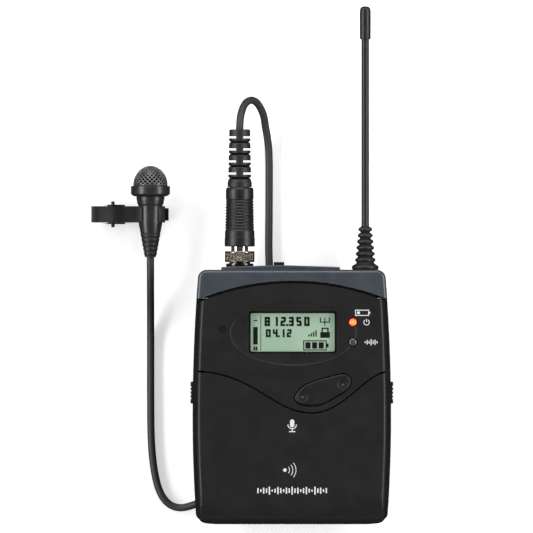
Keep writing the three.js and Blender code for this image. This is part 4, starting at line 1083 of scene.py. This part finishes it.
def trim_jaw(jaw):
    """Narrows a jaw's finger end and bores it for the pin."""
    for side in (-1, 1):
        cut(jaw, block((MIC_X + 4.6, 0), spread(TIE_Y + side * 3, 2.06), (-5, 40)))
    return cut(jaw, prism(disc(TIE_PIN_Z, TIE_PIN_X, TIE_PIN_R + 0.2), 90, 110, axis="Y"))


def build_tie_clip():
    front = unite(jaw_plate(FRONT_JAW, *spread(TIE_Y, TIE_WIDTH)), snap_ring(3.9, 4.55, math.radians(41)))
    for side in (-1, 1):
        unite(front, ear(1.9, 0.5, 1.5, [(-58.3, 7.3), (-58.3, 4.8), (-55.3, 4.8), (-55.3, 6.3)], side))
    settle(trim_jaw(front), "front_jaw_plate", "jaw_metal", "clip_front_jaw", edge=0.1, sharp=45)
    rear = unite(jaw_plate(REAR_JAW, *spread(TIE_Y, TIE_WIDTH)),
                 block((-58.5, -53), spread(TIE_Y, 6.2), (0.3, 0.9)))
    legs = [(-61.2, 2), (-60.6, 1.3), (-56, 0.3), (-51, 0.05), (-51, 1), (-54.9, 4.8), (-58.6, 4.8)]
    bulge = [(u / 10, 3.12 - 0.55 * (u / 10) ** 2) for u in range(-10, 11)]
    lens = [(-56.75 + 4.9 * u, TIE_Y - v) for u, v in bulge]
    lens += [(-56.75 + 4.9 * u, TIE_Y + v) for u, v in reversed(bulge)]
    for side in (-1, 1):
        unite(rear, keep(ear(2.85, 0.6, 1.9, legs, side), prism(lens, -5, 40)))
    settle(trim_jaw(rear), "rear_jaw_plate", "jaw_metal", "clip_rear_jaw", "clip_rear_jaw", 0.1, 45)
    low, high = spread(TIE_Y, 8.3)
    pin = [(0, low), (TIE_PIN_R, low), (TIE_PIN_R, high), (0, high)]
    turned("jaw_pin", "black_metal", "clip_pin", pin, (TIE_PIN_X, TIE_PIN_Z), 32, 0.15, slot="steel")
    turns, radius, wire, width = 6.5, 1.15, 0.2, 2.7
    steps = int(turns * 20)
    levels = between(TIE_Y - width / 2, TIE_Y + width / 2, steps)
    coil = [(x, y, z) for y, (x, z) in
            zip(levels, arc(TIE_PIN_X, TIE_PIN_Z, radius, between(0, 2 * math.pi * turns, steps)))]
    settle(tube(coil, wire, 8), "jaw_spring", "steel", "clip_spring", sharp=80)


# ---- the cord's route ----------------------------------------------------------------------

CORD = 2.4
PLUG_RUN = [
    (-16.5, 124.8, 20.2), (-16.45, 126.6, 20.05), (-16.25, 128.8, 19.3), (-15.8, 130.9, 17.8),
    (-14.7, 133.2, 15.6), (-12.95, 134.3, 13.1), (-11.2, 133.6, 10.7), (-9.8, 131.6, 8.4),
    (-8.85, 129.1, 6.2), (-8.4, 126.2, 4.3), (-7.8, 122.8, 2.7), (-7.35, 119, 1.6), (-7.2, 115, 1.3),
    (-7.2, 100, 1.3), (-7.2, 84, 1.3), (-6.4, 75, 1.3), (-2.5, 65.5, 1.3), (4.5, 57, 1.3),
    (12.8, 49.2, 1.3), (19, 41.4, 1.3), (21.4, 34.4, 1.3),
]
MIC_RUN = [
    (2, 8.4, 5), (-4, 8.3, 4.8), (-12, 8.7, 4.6), (-19, 8.5, 4.3), (-24.5, 7.8, 3.9), (-28.4, 6.8, 3.5),
    (-31.9, 5.5, 2.7), (-35.3, 4.8, 1.8), (-38.4, 5.6, 1.35), (-40.8, 7.9, 1.3), (-42.4, 11.2, 1.3),
    (-43.5, 15.6, 1.3), (-44.25, 21, 1.3), (-44.7, 28, 1.3), (-44.84, 40, 1.3), (-44.84, 52, 1.3),
    (-44.84, 60, 1.8), (-44.84, 67, 4), (-44.84, 73.5, 7.6), (-44.84, 79, 9.9), (-44.84, 82.4, 10.45),
    (-44.84, 84.4, 10.5),
]
INSIDE_PLUG, INSIDE_MICROPHONE = (-16.5, 123.6, 20.2), (MIC_X, 85.6, MIC_Z)
COIL_Y, COIL_RADIUS, COIL_LOW, COIL_COLUMNS, COIL_LAYERS = 30, 14, 0.5, 5, 3


def coil_cells():
    """(radius, height) of each turn: inwards along the bottom layer, then back out in pairs."""
    radii = [COIL_RADIUS + (i - (COIL_COLUMNS - 1) / 2) * CORD for i in range(COIL_COLUMNS)]
    heights = [COIL_LOW + (i + 0.5) * CORD for i in range(COIL_LAYERS)]
    cells = [(r, heights[0]) for r in reversed(radii)]
    for i, r in enumerate(radii):
        cells += [(r, z) for z in (heights[1:] if i % 2 == 0 else heights[:0:-1])]
    return cells


def coil_point(degrees, radius, z):
    turn = math.radians(degrees)
    return (radius * math.cos(turn), COIL_Y + radius * math.sin(turn), z)


def coil_turns():
    """Clockwise from the right: each turn slides to the next one's place over its last sixth."""
    start, per_turn, slide = -40, 24, 1 / 6
    cells = coil_cells()
    points = [coil_point(-5, 20.8, 1.45), coil_point(-20, 19.6, 1.6)]
    for i, (r, z) in enumerate(cells):
        next_r, next_z = cells[min(i + 1, len(cells) - 1)]
        for part in between(0, 1, per_turn)[:-1]:
            ease = max(0, (part - 1 + slide) / slide)
            points.append(coil_point(start - 360 * (i + part), r + ease * (next_r - r),
                                     z + ease * (next_z - z)))
    end = start - 360 * len(cells)
    return [*points, coil_point(end, r, z), coil_point(end - 14, r + 0.3, z),
            coil_point(end - 30, r + 1.4, z - 0.3)]


def build_cord():
    path = smooth_path([INSIDE_PLUG, *PLUG_RUN, *coil_turns(), *MIC_RUN, INSIDE_MICROPHONE], 1.2)
    data = bpy.data.curves.new("cable", "CURVE")
    data.dimensions, data.use_fill_caps = "3D", True
    data.bevel_depth, data.bevel_resolution = CORD / 2 * MM, 4
    spline = data.splines.new("POLY")
    spline.points.add(len(path) - 1)
    for point, place in zip(spline.points, path):
        point.co = (*row(place), 1)
    spline.use_smooth = True
    data.materials.append(FINISHES["cable_jacket"])
    cable = add("cable", data)
    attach(cable, ROOT)
    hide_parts("cable_plug_run", "cable_coil", "cable_mic_run")


# ---- cells, and the CAD pieces that keep their own shape -----------------------------------

def build_cells():
    """Two AA cells, head to tail: a wrapped can with rolled shoulders and bare metal ends."""
    can = [(0, -24.4), (5.8, -24.55), (6.6, -24.4), (7.05, -23.7), (7.05, 23.7), (6.6, 24.4), (5.6, 24.5),
           (0, 24.3)]
    foot = [(0, -24.6), (5.7, -24.6), (5.7, -24.3), (0, -24.3)]
    head = [(0, 24.2), (5.5, 24.2), (5.5, 24.5), (2.9, 24.6), (2.7, 25.6), (2.4, 25.85), (0, 25.85)]
    for number, y, plus in ((1, 12.6, 1), (2, 27.1, -1)):
        stand = Matrix.Translation((0, y, 18.8)) @ Matrix.Rotation(-plus * QUARTER, 4, "Z")
        wrap = lathe(soften(can, 0.2))
        ends = gather([lathe(foot, sides=48), lathe(head, sides=48)])
        wrap.data.transform(stand)
        ends.data.transform(stand)
        settle(wrap, f"cell_wrap_{number}", "cell_wrap", f"battery_{number}")
        settle(ends, f"cell_ends_{number}", "nickel")


KEPT = {
    "steel": "rf_shield rocker_switch_down rocker_switch_up set_switch power_switch mute_switch_body "
             "door_hinge_pin mic_capsule case_screw_1 case_screw_2 case_screw_3 case_screw_4",
    "dark_plastic": "display_frame inner_frame battery_tray capsule_seat",
    "chrome": "contact_bridge contact_plus contact_minus",
    "ir_glass": "infrared_window", "display_glow": "lcd_module", "green_board": "circuit_board",
    "rubber": "cable_tie",
}


def finish_kept_nodes():
    for finish, nodes in KEPT.items():
        for node in nodes.split():
            piece = NODES[node]
            for slot in piece.material_slots:
                slot.link, slot.material = "OBJECT", FINISHES[finish]
            if not piece.material_slots:
                piece.data.materials.append(FINISHES[finish])


build_camera()
build_stage()
build_finishes()
for build in (build_cord, build_front, build_housing, build_cap, build_catches, build_display, build_lamps,
              build_cells, build_rocker, build_keys, build_print, build_mute, build_socket, build_nut,
              build_plug_pin, build_sleeve, build_strain_relief, build_antenna, build_belt_clip,
              build_microphone, build_tie_clip, finish_kept_nodes):
    build()
